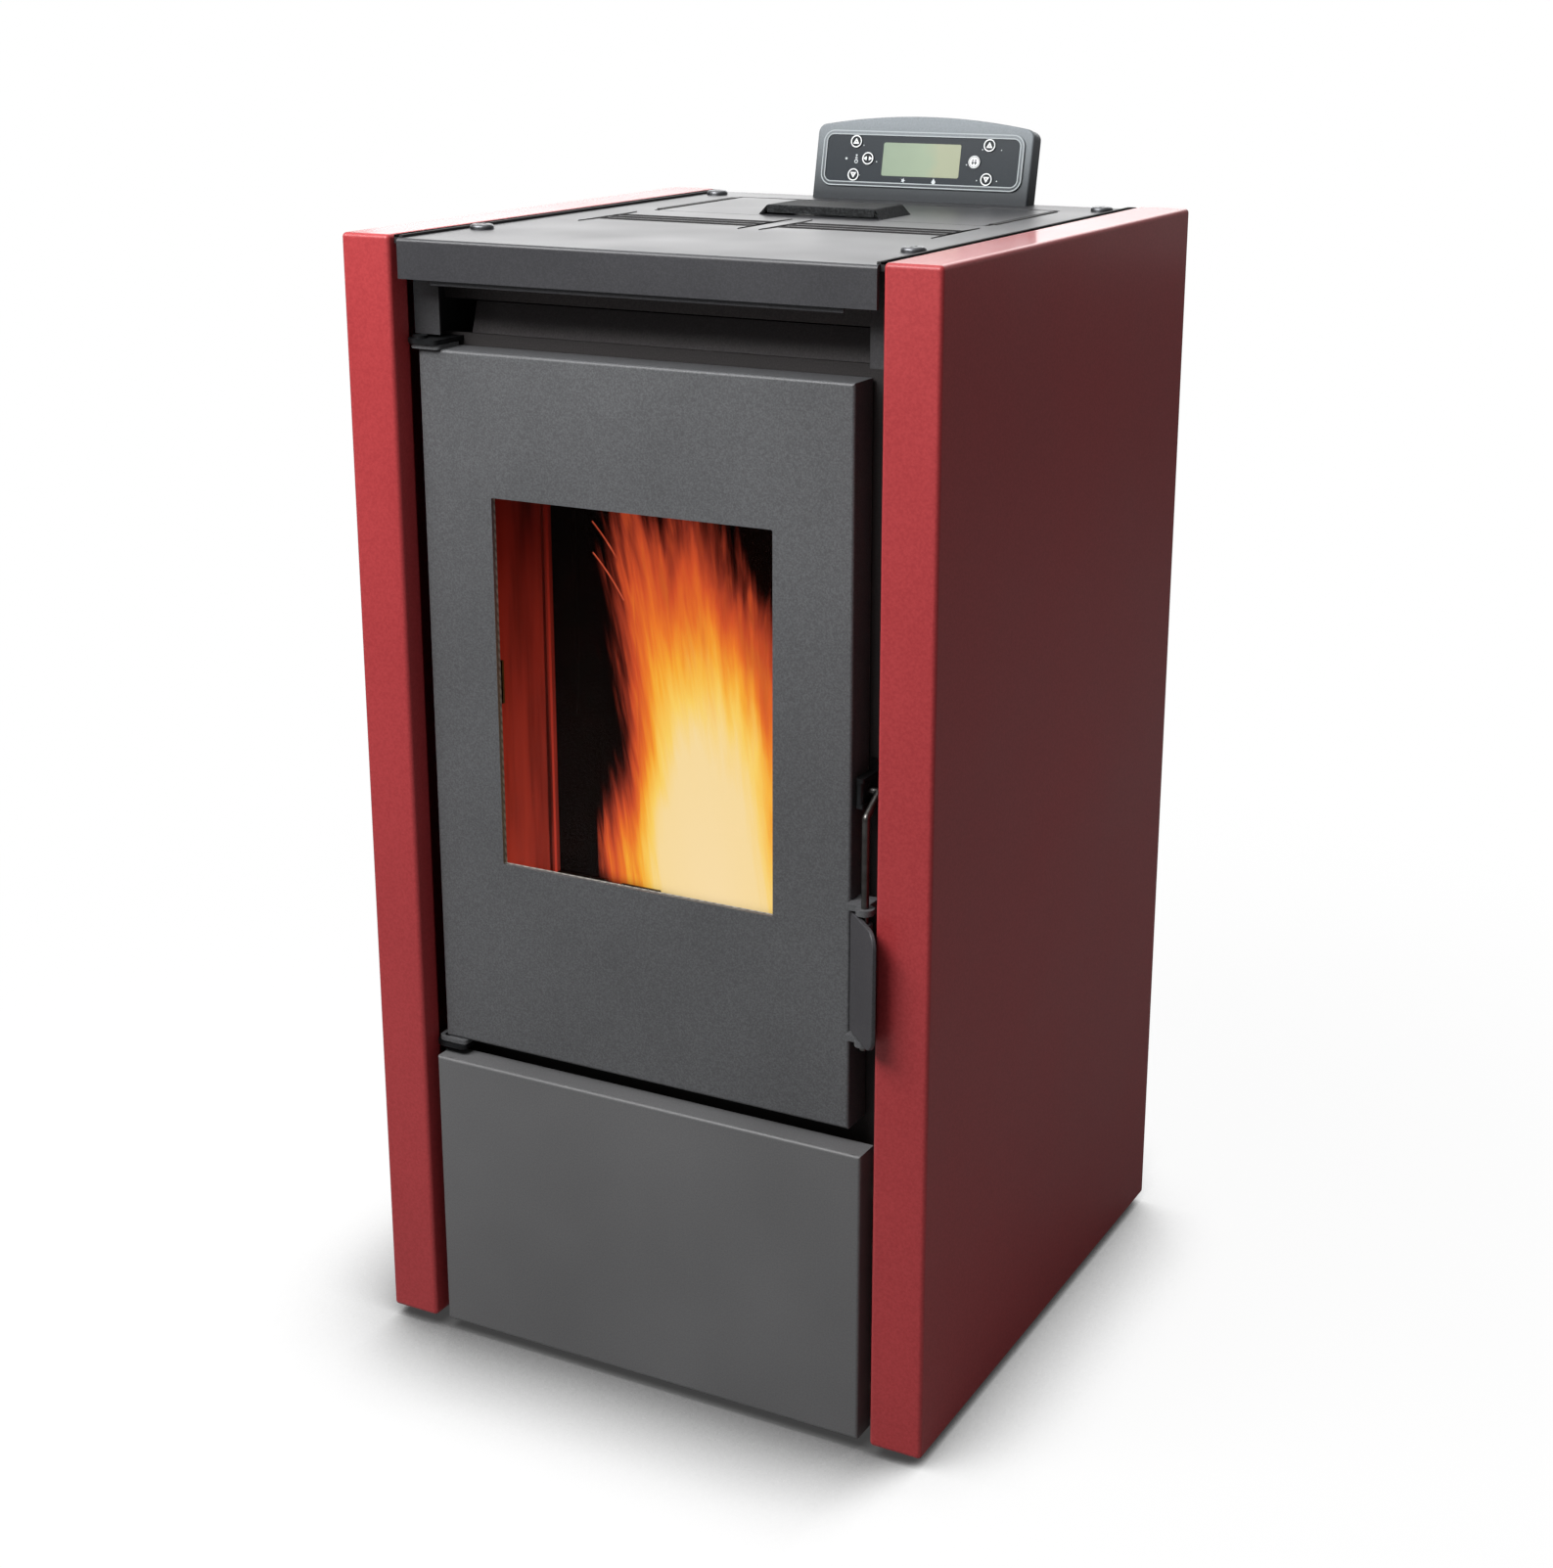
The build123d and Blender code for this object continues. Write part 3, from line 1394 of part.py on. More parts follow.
# Combustion air pipe from the back to the space under the burn pot
inlet_end_y = cabinet_depth - panel_sheet + inlet_reach
inlet_outer_y = cabinet_depth - panel_sheet
inlet_pipe = bar_y(back_lining_rear, inlet_outer_y, inlet_x, inlet_z, inlet_inner_radius)
inlet_pipe += bar_y(inlet_outer_y, inlet_end_y, inlet_x, inlet_z, inlet_radius)
inlet_bore = inlet_inner_radius - inlet_wall
inlet_pipe -= bar_y(back_lining_rear - 1, inlet_end_y + 1, inlet_x, inlet_z, inlet_bore)
inlet_socket = inlet_radius - inlet_wall
inlet_pipe -= bar_y(inlet_outer_y + inlet_wall, inlet_end_y + 1, inlet_x, inlet_z, inlet_socket)
save("air_inlet_pipe", inlet_pipe)

# Smoke duct from the firebox down to the fan eye
eye_reach = smoke_eye_radius + smoke_duct_margin
duct_outline = [
    (shell_rear_y, duct_hole_high),
    (shell_rear_y + smoke_duct_knee, duct_hole_high),
    (fan_y + eye_reach, smoke_fan_z + eye_reach),
    (fan_y + eye_reach, smoke_fan_z - eye_reach),
    (fan_y - eye_reach, smoke_fan_z - eye_reach),
    (shell_rear_y, duct_hole_low),
]
duct_face = Plane.YZ.offset(smoke_duct_left) * Polygon(*duct_outline, align=None)
duct = extrude(duct_face, amount=smoke_duct_width, dir=(1, 0, 0))
duct_core = Plane.YZ.offset(smoke_duct_left + smoke_duct_sheet) * Polygon(*duct_outline, align=None)
duct_core = offset(duct_core, amount=-smoke_duct_sheet)
duct -= extrude(duct_core, amount=smoke_duct_width - 2 * smoke_duct_sheet, dir=(1, 0, 0))
duct -= block(
    smoke_duct_left + smoke_duct_sheet, smoke_duct_right - smoke_duct_sheet,
    shell_rear_y - 1, shell_rear_y + smoke_duct_sheet * 2,
    duct_hole_low + smoke_duct_sheet, duct_hole_high - smoke_duct_sheet,
)
duct -= bar_x(
    smoke_duct_right - smoke_duct_sheet - 1, smoke_duct_right + 1, fan_y, smoke_fan_z, smoke_eye_radius
)
save("smoke_duct", duct)

# Smoke fan housing: round scroll with a straight outlet to the back
scroll_top = smoke_fan_z + smoke_fan_radius
flue_x = (fan_left + fan_right) / 2
flue_z = scroll_top - flue_radius


def scroll_face(x, inset):
    round_part = Pos(fan_y, smoke_fan_z) * Circle(smoke_fan_radius - inset)
    outlet = Pos((fan_y + flue_start_y) / 2, flue_z) * Rectangle(
        flue_start_y - fan_y + (2 if inset else 0), 2 * flue_radius - 2 * inset
    )
    return Plane.YZ.offset(x) * (round_part + outlet)


fan_housing = extrude(scroll_face(fan_left, 0), amount=smoke_fan_width)
fan_housing -= extrude(
    scroll_face(fan_left + smoke_fan_sheet, smoke_fan_sheet), amount=smoke_fan_width - 2 * smoke_fan_sheet
)
fan_housing -= bar_x(fan_left - 1, fan_left + smoke_fan_sheet + 1, fan_y, smoke_fan_z, smoke_eye_radius)
fan_housing -= bar_x(
    fan_right - smoke_fan_sheet - 1, fan_right + 1, fan_y, smoke_fan_z, fan_shaft_radius + fan_shaft_room
)
save("smoke_fan_housing", fan_housing)

# Smoke fan motor on the outer face of the scroll
smoke_motor = bar_x(fan_right, fan_right + smoke_motor_length, fan_y, smoke_fan_z, smoke_motor_radius)
smoke_motor = fillet(smoke_motor.edges().group_by(Axis.X)[-1], motor_edge_radius)
smoke_motor -= bar_x(
    fan_right - 1, fan_right + smoke_shaft_end + 2, fan_y, smoke_fan_z, fan_shaft_radius + fan_shaft_fit
)
save("smoke_fan_motor", smoke_motor)

# Smoke fan wheel: disc, hub, shaft and leaning blades
disc_right = fan_right - smoke_fan_sheet - impeller_end_gap
disc_left = disc_right - impeller_disc
blade_left = disc_left - impeller_blade_width
wheel = bar_x(disc_left, disc_right, fan_y, smoke_fan_z, impeller_radius)
wheel += bar_x(blade_left + impeller_end_gap, disc_left, fan_y, smoke_fan_z, impeller_hub_radius)
wheel += bar_x(disc_right, fan_right + smoke_shaft_end, fan_y, smoke_fan_z, fan_shaft_radius)
blade_run = impeller_radius - impeller_hub_radius - impeller_root_lap
blade_mid = impeller_hub_radius - impeller_root_lap + blade_run / 2
for index in range(impeller_blades):
    spot = Plane.YZ.offset(blade_left) * Pos(fan_y, smoke_fan_z) * Rot(0, 0, index * 360 / impeller_blades)
    spot = spot * Pos(blade_mid, impeller_blade_offset) * Rot(0, 0, impeller_blade_lean)
    wheel += extrude(spot * Rectangle(blade_run, impeller_blade_sheet), amount=impeller_blade_width)
save("smoke_fan_wheel", wheel)

# Flue outlet: flange on the scroll and a round stub through the back panel
flue_outer_y = cabinet_depth - panel_sheet
flue_inner_radius = flue_radius - pipe_step
flue = bar_y(flue_start_y, flue_outer_y, flue_x, flue_z, flue_inner_radius)
flue += bar_y(flue_outer_y, flue_end_y, flue_x, flue_z, flue_radius)
flange = block(
    flue_x - flue_flange, flue_x + flue_flange,
    flue_start_y, flue_start_y + flue_flange_sheet, flue_z - flue_flange, flue_z + flue_flange,
)
flue += fillet(flange.edges().filter_by(Axis.Y), flue_flange_corner)
flue -= bar_y(flue_start_y - 1, flue_end_y + 1, flue_x, flue_z, flue_inner_radius - flue_wall)
flue -= bar_y(flue_outer_y + flue_wall, flue_end_y + 1, flue_x, flue_z, flue_radius - flue_wall)
save("flue_outlet", flue)

# Room-air blower: long drum of blades in a curved sheet housing
drum = bar_x(drum_left, drum_left + drum_disc, fan_y, drum_z, drum_radius)
drum += bar_x(drum_right - drum_disc, drum_right, fan_y, drum_z, drum_radius)
drum_mid = (drum_left + drum_right) / 2
drum += bar_x(drum_mid - drum_disc / 2, drum_mid + drum_disc / 2, fan_y, drum_z, drum_radius)
blade_face = Rectangle(drum_blade_depth, drum_blade_sheet)
for index in range(drum_blades):
    spot = Plane.YZ.offset(drum_left) * Pos(fan_y, drum_z) * Rot(0, 0, index * 360 / drum_blades)
    spot = spot * Pos(drum_radius - drum_blade_depth / 2 - drum_blade_inset, 0) * Rot(0, 0, drum_blade_lean)
    drum += extrude(spot * blade_face, amount=drum_right - drum_left)
shaft_left = drum_left - blower_end_gap - blower_sheet
shaft_right = drum_right + blower_end_gap + blower_sheet + blower_shaft_end
drum += bar_x(shaft_left, drum_left, fan_y, drum_z, blower_shaft_radius)
drum += bar_x(drum_right, shaft_right, fan_y, drum_z, blower_shaft_radius)
save("blower_drum", drum)

housing_left = drum_left - blower_end_gap - blower_sheet
housing_right = drum_right + blower_end_gap + blower_sheet
scroll_inner = drum_radius + blower_gap
scroll_outer = scroll_inner + blower_sheet
ring = Circle(scroll_outer) - Circle(scroll_inner)
ring -= Pos(scroll_outer, -scroll_outer * 0.25) * Rectangle(scroll_outer * 1.5, scroll_outer * 1.1)
ring -= Pos(0, scroll_outer * 1.1) * Rectangle(2 * scroll_inner, scroll_outer * 2)
outlet_rise = blower_outlet_top - drum_z
ring += Pos(-scroll_inner - blower_sheet / 2, outlet_rise / 2) * Rectangle(blower_sheet, outlet_rise)
back_wall_mid = outlet_rise - blower_back_wall / 2
ring += Pos(scroll_inner + blower_sheet / 2, back_wall_mid) * Rectangle(blower_sheet, blower_back_wall)
ring_face = Plane.YZ.offset(housing_left + blower_sheet) * Pos(fan_y, drum_z) * ring
blower = extrude(ring_face, amount=housing_right - housing_left - 2 * blower_sheet)
for low in (housing_left, housing_right - blower_sheet):
    cheek = block(
        low, low + blower_sheet, fan_y - scroll_outer, fan_y + scroll_outer,
        base_top, blower_outlet_top,
    )
    cheek -= bar_x(low - 1, low + blower_sheet + 1, fan_y, drum_z, blower_shaft_radius + fan_shaft_fit)
    blower += cheek
save("blower_housing", blower)
blower_motor = bar_x(
    housing_right, housing_right + blower_motor_length, fan_y, drum_z, blower_motor_radius
)
blower_motor = fillet(blower_motor.edges().group_by(Axis.X)[-1], motor_edge_radius)
blower_motor -= bar_x(
    housing_right - 1, shaft_right + 1, fan_y, drum_z, blower_shaft_radius + fan_shaft_fit
)
save("blower_motor", blower_motor)

# Back panel with the air grille and the holes for flue, air and mains
rear_x = inner_x - rear_side_gap
rear_outer_y = rear_inner_y + rear_sheet
rear = upright_plate(
    -rear_x, rear_x, rear_bottom, flange_under, rear_inner_y, rear_outer_y, rear_corner
)
rear_cut = rear_sheet + 2
grille_x = (drum_left + drum_right) / 2
grille_slot = SlotOverall(grille_slot_length, grille_slot_width)
for index in range(grille_slot_count):
    slot_z = grille_slot_z + index * grille_slot_pitch
    for slot_x, rise in ((grille_x, 0), (0, grille_upper_rise)):
        slot_place = Plane.XZ.offset(-rear_outer_y - 1) * Pos(slot_x, slot_z + rise)
        rear -= extrude(slot_place * grille_slot, amount=rear_cut)
rear -= bar_y(rear_inner_y - 1, rear_outer_y + 1, flue_x, flue_z, flue_inner_radius + pipe_hole_gap)
rear -= bar_y(rear_inner_y - 1, rear_outer_y + 1, inlet_x, inlet_z, inlet_inner_radius + pipe_hole_gap)
module_x0 = inlet_module_x - inlet_module_width / 2
module_x1 = inlet_module_x + inlet_module_width / 2
module_z0 = inlet_module_z - inlet_module_height / 2
module_z1 = inlet_module_z + inlet_module_height / 2
rear -= block(
    module_x0 + module_lap, module_x1 - module_lap,
    rear_inner_y - 1, rear_outer_y + 1, module_z0 + module_lap, module_z1 - module_lap,
)
rear_screw_x = chassis_x - rear_flange / 2
for side in (-1, 1):
    for row in rear_screw_rows:
        rear -= bar_y(rear_inner_y - 1, rear_outer_y + 1, side * rear_screw_x, row, rear_screw_hole)
save("rear_panel", rear)
rear_screw = domed_screw(rear_screw_radius, rear_screw_head, rear_screw_shank, rear_screw_length)
rear_screw = Rot(-90, 0, 0) * rear_screw
rear_screw_places = [
    Pos(side * rear_screw_x, rear_outer_y, row)
    for side in (-1, 1)
    for row in rear_screw_rows
]
save("rear_panel_screws", *[place * rear_screw for place in rear_screw_places])

# Mains inlet with three pins, and the rocker of its switch
bezel_y = rear_outer_y + inlet_bezel
inlet_front_y = rear_outer_y - inlet_module_depth
module = upright_plate(
    module_x0, module_x1, module_z0, module_z1, rear_outer_y, bezel_y, module_corner
)
module_inset = module_lap + module_gap
module += block(
    module_x0 + module_inset, module_x1 - module_inset,
    inlet_front_y, rear_outer_y, module_z0 + module_inset, module_z1 - module_inset,
)
socket_z = module_z0 + socket_rise
module -= upright_plate(
    inlet_module_x - socket_width / 2, inlet_module_x + socket_width / 2,
    socket_z - socket_height / 2, socket_z + socket_height / 2,
    bezel_y - socket_depth, bezel_y + 1, module_corner,
)
for column, rise in ((-1, -0.4), (0, 0.6), (1, -0.4)):
    pin_mid_x = inlet_module_x + column * socket_pin_pitch
    pin_mid_z = socket_z + rise * socket_pin_step
    module += block(
        pin_mid_x - socket_pin_width / 2, pin_mid_x + socket_pin_width / 2,
        bezel_y - socket_depth - 1, bezel_y - socket_pin_setback,
        pin_mid_z - socket_pin_height / 2, pin_mid_z + socket_pin_height / 2,
    )
rocker_z = module_z1 - rocker_drop
rocker_well = block(
    inlet_module_x - rocker_width / 2 - rocker_gap, inlet_module_x + rocker_width / 2 + rocker_gap,
    bezel_y - rocker_well_depth, bezel_y + 1,
    rocker_z - rocker_height / 2 - rocker_gap, rocker_z + rocker_height / 2 + rocker_gap,
)
module -= rocker_well
save("mains_inlet", module)
rocker_axis_y = bezel_y - rocker_axis_inset
rocker_low = rocker_z - rocker_height / 2 + rocker_end_gap
rocker_high = rocker_z + rocker_height / 2 - rocker_end_gap
rocker_profile = [
    (rocker_axis_y - rocker_root_depth, rocker_z - rocker_root_height / 2),
    (rocker_axis_y - rocker_root_depth, rocker_z + rocker_root_height / 2),
    (rocker_axis_y + rocker_shoulder, rocker_high),
    (rocker_axis_y + rocker_rise, rocker_high - rocker_end_gap),
    (rocker_axis_y + rocker_rise - rocker_dip, rocker_z),
    (rocker_axis_y + rocker_rise, rocker_low + rocker_end_gap),
    (rocker_axis_y + rocker_shoulder, rocker_low),
]
rocker = side_profile(
    rocker_profile, inlet_module_x - rocker_width / 2, inlet_module_x + rocker_width / 2
)
rocker = rocker.rotate(Axis((0, rocker_axis_y, rocker_z), (1, 0, 0)), rocker_tilt)
save("mains_rocker", rocker)

# Control board on standoffs at the left chassis wall
board_x = -chassis_x + board_standoff
board_face = board_x + board_sheet
board_far_y = board_y + board_length
board_top = board_z + board_height
board = block(board_x, board_face, board_y, board_far_y, board_z, board_top)
for spot_y in (board_y + board_margin, board_far_y - board_margin):
    for spot_z in (board_z + board_margin, board_top - board_margin):
        board += bar_x(-chassis_x, board_x, spot_y, spot_z, standoff_radius)
transformer_y = board_y + board_margin
transformer_z = board_z + board_part_gap
board += block(
    board_face, board_face + transformer_depth, transformer_y, transformer_y + transformer_length,
    transformer_z, transformer_z + transformer_height,
)
terminal_y = transformer_y + transformer_length + board_part_gap
board += block(
    board_face, board_face + terminal_depth, terminal_y, terminal_y + terminal_length,
    board_z + board_margin, board_z + board_margin + terminal_height,
)
relay_z = board_top - board_margin - board_part_gap - relay_height
for index in range(relay_count):
    relay_y = terminal_y + index * relay_pitch
    board += block(
        board_face, board_face + relay_depth, relay_y, relay_y + relay_length,
        relay_z, relay_z + relay_height,
    )
for index in range(capacitor_count):
    capacitor_y = terminal_y + capacitor_radius + index * capacitor_pitch
    capacitor_z = transformer_z + transformer_height
    board += bar_x(board_face, board_face + capacitor_depth, capacitor_y, capacitor_z, capacitor_radius)
save("control_board", board)

# Control panel: arched housing that leans back on the cover
lean = radians(control_tilt)
control_plane = Plane(
    origin=(control_x, control_y, cover_top),
    x_dir=(1, 0, 0),
    z_dir=(0, -cos(lean), sin(lean)),
)
control_half = control_width / 2
arch = Polyline(
    (control_half, control_side_height),
    (control_half, 0),
    (-control_half, 0),
    (-control_half, control_side_height),
)
crown = ThreePointArc(
    (-control_half, control_side_height),
    (0, control_side_height + control_arch),
    (control_half, control_side_height),
)
control_face = make_face(arch + crown)
control_face = fillet(control_face.vertices().sort_by(Axis.Y)[-2:], control_corner)
housing = extrude(control_plane * control_face, amount=-control_thickness)
housing = fillet(housing.faces().sort_by(Axis.Y)[0].edges().sort_by(Axis.Z)[1:], control_edge_radius)
frame_mid = control_side_height / 2 + control_arch / 4 + frame_rise


def control_rectangle(width, height, radius, low, high):
    face = control_plane * Pos(0, frame_mid, low) * RectangleRounded(width, height, radius)
    return extrude(face, amount=high - low)


overlay_width = frame_width - 2 * frame_band
overlay_height = frame_height - 2 * frame_band
overlay_corner = frame_corner - frame_band
band = control_rectangle(frame_width, frame_height, frame_corner, 0, frame_relief)
band -= control_rectangle(overlay_width, overlay_height, overlay_corner, -1, frame_relief + 1)
housing += band
key_spots = {
    "key_left_up": (-key_outer_x, key_row_rise),
    "key_left_down": (-key_outer_x, -key_row_rise),
    "key_mode": (-key_inner_x, 0),
    "key_right_up": (key_outer_x, key_row_rise),
    "key_right_down": (key_outer_x, -key_row_rise),
    "key_power": (key_inner_x, 0),
}
key_low = overlay_thickness - key_depth
key_floor = key_low - key_travel_room


def key_disc(spot, radius, low, high):
    face = control_plane * Pos(spot[0], frame_mid + spot[1], low) * Circle(radius)
    return extrude(face, amount=high - low)


overlay = control_rectangle(
    overlay_width - overlay_gap, overlay_height - overlay_gap, overlay_corner, 0, overlay_thickness
)
overlay -= control_rectangle(screen_width, screen_height, screen_corner, -1, overlay_thickness + 1)
for name, spot in key_spots.items():
    housing -= key_disc(spot, key_radius + key_gap, key_floor, 1)
    overlay -= key_disc(spot, key_radius + key_gap, -1, overlay_thickness + 1)
    key = key_disc(spot, key_radius, key_low, overlay_thickness + key_proud)
    save(name, key)
housing -= block(-cabinet_width, cabinet_width, 0, 2 * cabinet_depth, 0, cover_top)
save("control_housing", housing)
save("control_overlay", overlay)
screen = control_rectangle(
    screen_width - overlay_gap, screen_height - overlay_gap, screen_corner, 0, overlay_thickness
)
save("display_window", screen)

print("outline x", round(cabinet_width, 1), "y", round(flue_end_y - handle_front_y, 1))
print("origin_y", round(origin_y, 3), "handle_front_y", round(handle_front_y, 3), "flue_end_y", flue_end_y)
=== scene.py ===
# The looks of the pellet stove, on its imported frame. Metres.
import math
import random

import bmesh
import bpy
from mathutils import Matrix, Vector, noise


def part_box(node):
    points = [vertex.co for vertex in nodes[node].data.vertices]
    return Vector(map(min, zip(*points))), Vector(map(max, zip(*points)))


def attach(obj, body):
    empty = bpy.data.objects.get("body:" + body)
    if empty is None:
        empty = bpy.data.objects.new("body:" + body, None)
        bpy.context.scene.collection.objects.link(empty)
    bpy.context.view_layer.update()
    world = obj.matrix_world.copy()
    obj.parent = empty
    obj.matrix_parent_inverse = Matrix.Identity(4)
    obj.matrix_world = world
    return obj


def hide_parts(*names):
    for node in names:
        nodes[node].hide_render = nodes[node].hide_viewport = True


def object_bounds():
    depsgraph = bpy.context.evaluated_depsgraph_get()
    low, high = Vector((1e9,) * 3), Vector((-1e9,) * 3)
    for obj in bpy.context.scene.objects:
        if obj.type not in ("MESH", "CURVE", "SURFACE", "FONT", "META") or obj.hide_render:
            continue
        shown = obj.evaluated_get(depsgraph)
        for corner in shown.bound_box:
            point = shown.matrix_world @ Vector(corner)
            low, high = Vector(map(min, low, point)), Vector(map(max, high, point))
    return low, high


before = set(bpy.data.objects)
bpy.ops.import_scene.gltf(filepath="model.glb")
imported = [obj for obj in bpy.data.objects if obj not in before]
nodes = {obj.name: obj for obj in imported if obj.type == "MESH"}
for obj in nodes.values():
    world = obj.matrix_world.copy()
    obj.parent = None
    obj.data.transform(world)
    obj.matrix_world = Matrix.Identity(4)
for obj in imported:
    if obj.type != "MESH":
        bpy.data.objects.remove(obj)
cadLow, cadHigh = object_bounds()
mm = 0.001
print("frame loaded,", len(nodes), "nodes")


# Tools for materials.

def linearColour(hexText):
    # sRGB hex to linear, with full alpha
    channels = [int(hexText[i:i + 2], 16) / 255 for i in (1, 3, 5)]
    return [c / 12.92 if c <= 0.04045 else ((c + 0.055) / 1.055) ** 2.4 for c in channels] + [1.0]


def addNode(tree, kind, settings=None, links=None):
    # settings and links name an input, or an input's number, or a property of the node
    node = tree.nodes.new(kind)
    for name, value in (settings or {}).items():
        if name == "stops":
            ramp = node.color_ramp.elements
            while len(ramp) < len(value):
                ramp.new(0.5)
            for stop, (place, colour) in zip(ramp, value):
                stop.position = place
                stop.color = linearColour(colour)
        elif isinstance(name, int) or name in node.inputs:
            node.inputs[name].default_value = value
        else:
            setattr(node, name, value)
    for name, socket in (links or {}).items():
        tree.links.new(socket, node.inputs[name])
    return node


def startMaterial(name, settings):
    # a Principled surface and the Object coordinates that its patterns read
    material = bpy.data.materials.new(name)
    material.use_nodes = True
    tree = material.node_tree
    tree.nodes.clear()
    surface = addNode(tree, "ShaderNodeBsdfPrincipled", settings)
    addNode(tree, "ShaderNodeOutputMaterial", links={"Surface": surface.outputs["BSDF"]})
    place = addNode(tree, "ShaderNodeTexCoord").outputs["Object"]
    return material, tree, surface, place


def perMetre(millimetres):
    # a pattern's scale on Object coordinates, from its real size
    return 1000 / millimetres


def giveMaterial(material, *names):
    # the CAD nodes keep their meshes and take the finish in their slots
    for name in names:
        for slot in nodes[name].material_slots:
            slot.material = material


# Coated sheet steel.

def coatedSheet(name, look):
    # Baked coat: a fine grain in the colour and the bump, and broad patches
    # where the coat is a little thicker and shines a little more.
    material, tree, surface, place = startMaterial(name, {
        "Roughness": look["roughness"], "IOR": look["ior"],
        "Coat Weight": look.get("lacquer", 0.0), "Coat Roughness": 0.14, "Coat IOR": 1.25,
    })
    grain = addNode(tree, "ShaderNodeTexNoise",
                    {"Scale": perMetre(look["grainSize"]), "Detail": 3.0, "Roughness": 0.6},
                    {"Vector": place})
    patches = addNode(tree, "ShaderNodeTexNoise",
                      {"Scale": perMetre(look["patchSize"]), "Detail": 2.0}, {"Vector": place})
    speckle = addNode(tree, "ShaderNodeValToRGB", {
        "stops": [(0.36, look["dark"]), (0.5, look["colour"]), (0.66, look["light"])],
    }, {"Fac": grain.outputs["Fac"]})
    shade = addNode(tree, "ShaderNodeValToRGB", {
        "stops": [(0.3, look["patchDark"]), (0.7, "#ffffff")],
    }, {"Fac": patches.outputs["Fac"]})
    mixed = addNode(tree, "ShaderNodeMix", {
        "data_type": "RGBA", "blend_type": "MULTIPLY", 0: 1.0,
    }, {6: speckle.outputs["Color"], 7: shade.outputs["Color"]})
    tree.links.new(mixed.outputs[2], surface.inputs["Base Color"])
    shine = addNode(tree, "ShaderNodeMapRange", {
        1: 0.3, 2: 0.7, 3: look["roughness"] - 0.04, 4: look["roughness"] + 0.06,
    }, {0: patches.outputs["Fac"]})
    tree.links.new(shine.outputs[0], surface.inputs["Roughness"])
    bump = addNode(tree, "ShaderNodeBump", {
        "Strength": look["bump"], "Distance": look["bumpHeight"] * mm,
    }, {"Height": grain.outputs["Fac"]})
    tree.links.new(bump.outputs["Normal"], surface.inputs["Normal"])
    return material


# Powder coat, satin: even deep red with a soft sheen and a hint of orange peel.
# The peel is drawn at 1.6 mm, coarser than the real 0.5 mm, so that it shows.
redPowderCoat = {
    "colour": "#a83639", "dark": "#a13135", "light": "#af3b3e", "patchDark": "#f4f2f2",
    "grainSize": 1.6, "patchSize": 160, "roughness": 0.5, "ior": 1.42, "lacquer": 0.6,
    "bump": 0.10, "bumpHeight": 0.05,
}
giveMaterial(coatedSheet("redPowderCoat", redPowderCoat), "left_side_panel", "right_side_panel")

# Heat-proof stove paint, sprayed: dark warm grey, dry and fine-grained, with pale specks.
# The grain is drawn at 1.1 mm, coarser than the real 0.3 mm.
stovePaint = {
    "colour": "#555658", "dark": "#4c4c4e", "light": "#616264", "patchDark": "#eeeeee",
    "grainSize": 1.1, "patchSize": 120, "roughness": 0.5, "ior": 1.5,
    "bump": 0.24, "bumpHeight": 0.08,
}
giveMaterial(coatedSheet("stovePaint", stovePaint), "door_skin")

# The top sheet and the lid: the same paint laid smoother, so it is darker from the
# front and mirrors the room where the eye meets it at a low angle.
coverPaint = dict(stovePaint, colour="#38383b", dark="#333336", light="#3f3f42",
                  bump=0.08, roughness=0.40)
coverMaterial = coatedSheet("coverPaint", coverPaint)
giveMaterial(coverMaterial, "top_cover", "hopper_lid")

# Primer on the frame sheets beside the door: flat dark grey.
framePrimer = dict(stovePaint, colour="#343436", dark="#2f2f31", light="#3b3b3d",
                   bump=0.12, roughness=0.6)
giveMaterial(coatedSheet("framePrimer", framePrimer), "left_chassis_side", "right_chassis_side")

# The same paint on the plates round the firebox mouth, blackened by heat.
heatBlackPaint = dict(stovePaint, colour="#2b2727", dark="#252222", light="#312d2d", roughness=0.65)
giveMaterial(coatedSheet("heatBlackPaint", heatBlackPaint), "firebox_front_plate")

# The deflector in the hot-air outlet: the heat-blackened paint made brown-grey and lighter than the paint
# below it, as painted light in the outlet's shade.
guidePaint = dict(heatBlackPaint, colour="#5b5555", dark="#534e4e", light="#645e5e")
giveMaterial(coatedSheet("guidePaint", guidePaint), "outlet_baffle")

# The air guide below the deflector: the same paint made lighter, less so than the deflector, as painted light
# in the outlet's shade.
lowGuidePaint = dict(heatBlackPaint, colour="#484344", dark="#413c3d", light="#504b4c")
guideMaterial = coatedSheet("lowGuidePaint", lowGuidePaint)

# Powder coat, smooth satin grey on the lower panel.
greyPowderCoat = dict(stovePaint, colour="#646465", dark="#5f5f60", light="#6a6a6b",
                      bump=0.12, roughness=0.45)
giveMaterial(coatedSheet("greyPowderCoat", greyPowderCoat), "lower_panel", "base_plate")

# Wrinkle coat on the grips: nearly black, with small soft bumps about 1.5 mm apart.
wrinkleCoat = {
    "colour": "#242526", "dark": "#191a1b", "light": "#37393a", "patchDark": "#f4f4f4",
    "grainSize": 1.5, "patchSize": 60, "roughness": 0.62, "ior": 1.22,
    "bump": 0.8, "bumpHeight": 0.35,
}
wrinkleMaterial = coatedSheet("wrinkleCoat", wrinkleCoat)
giveMaterial(wrinkleMaterial, "lid_handle")

# The same black coat on the latch plate, laid flatter.
latchCoat = dict(wrinkleCoat, colour="#3f3e41", dark="#38373a", light="#464548", roughness=0.5, ior=1.5,
                 bump=0.25, bumpHeight=0.12)
giveMaterial(coatedSheet("latchCoat", latchCoat), "latch_handle")

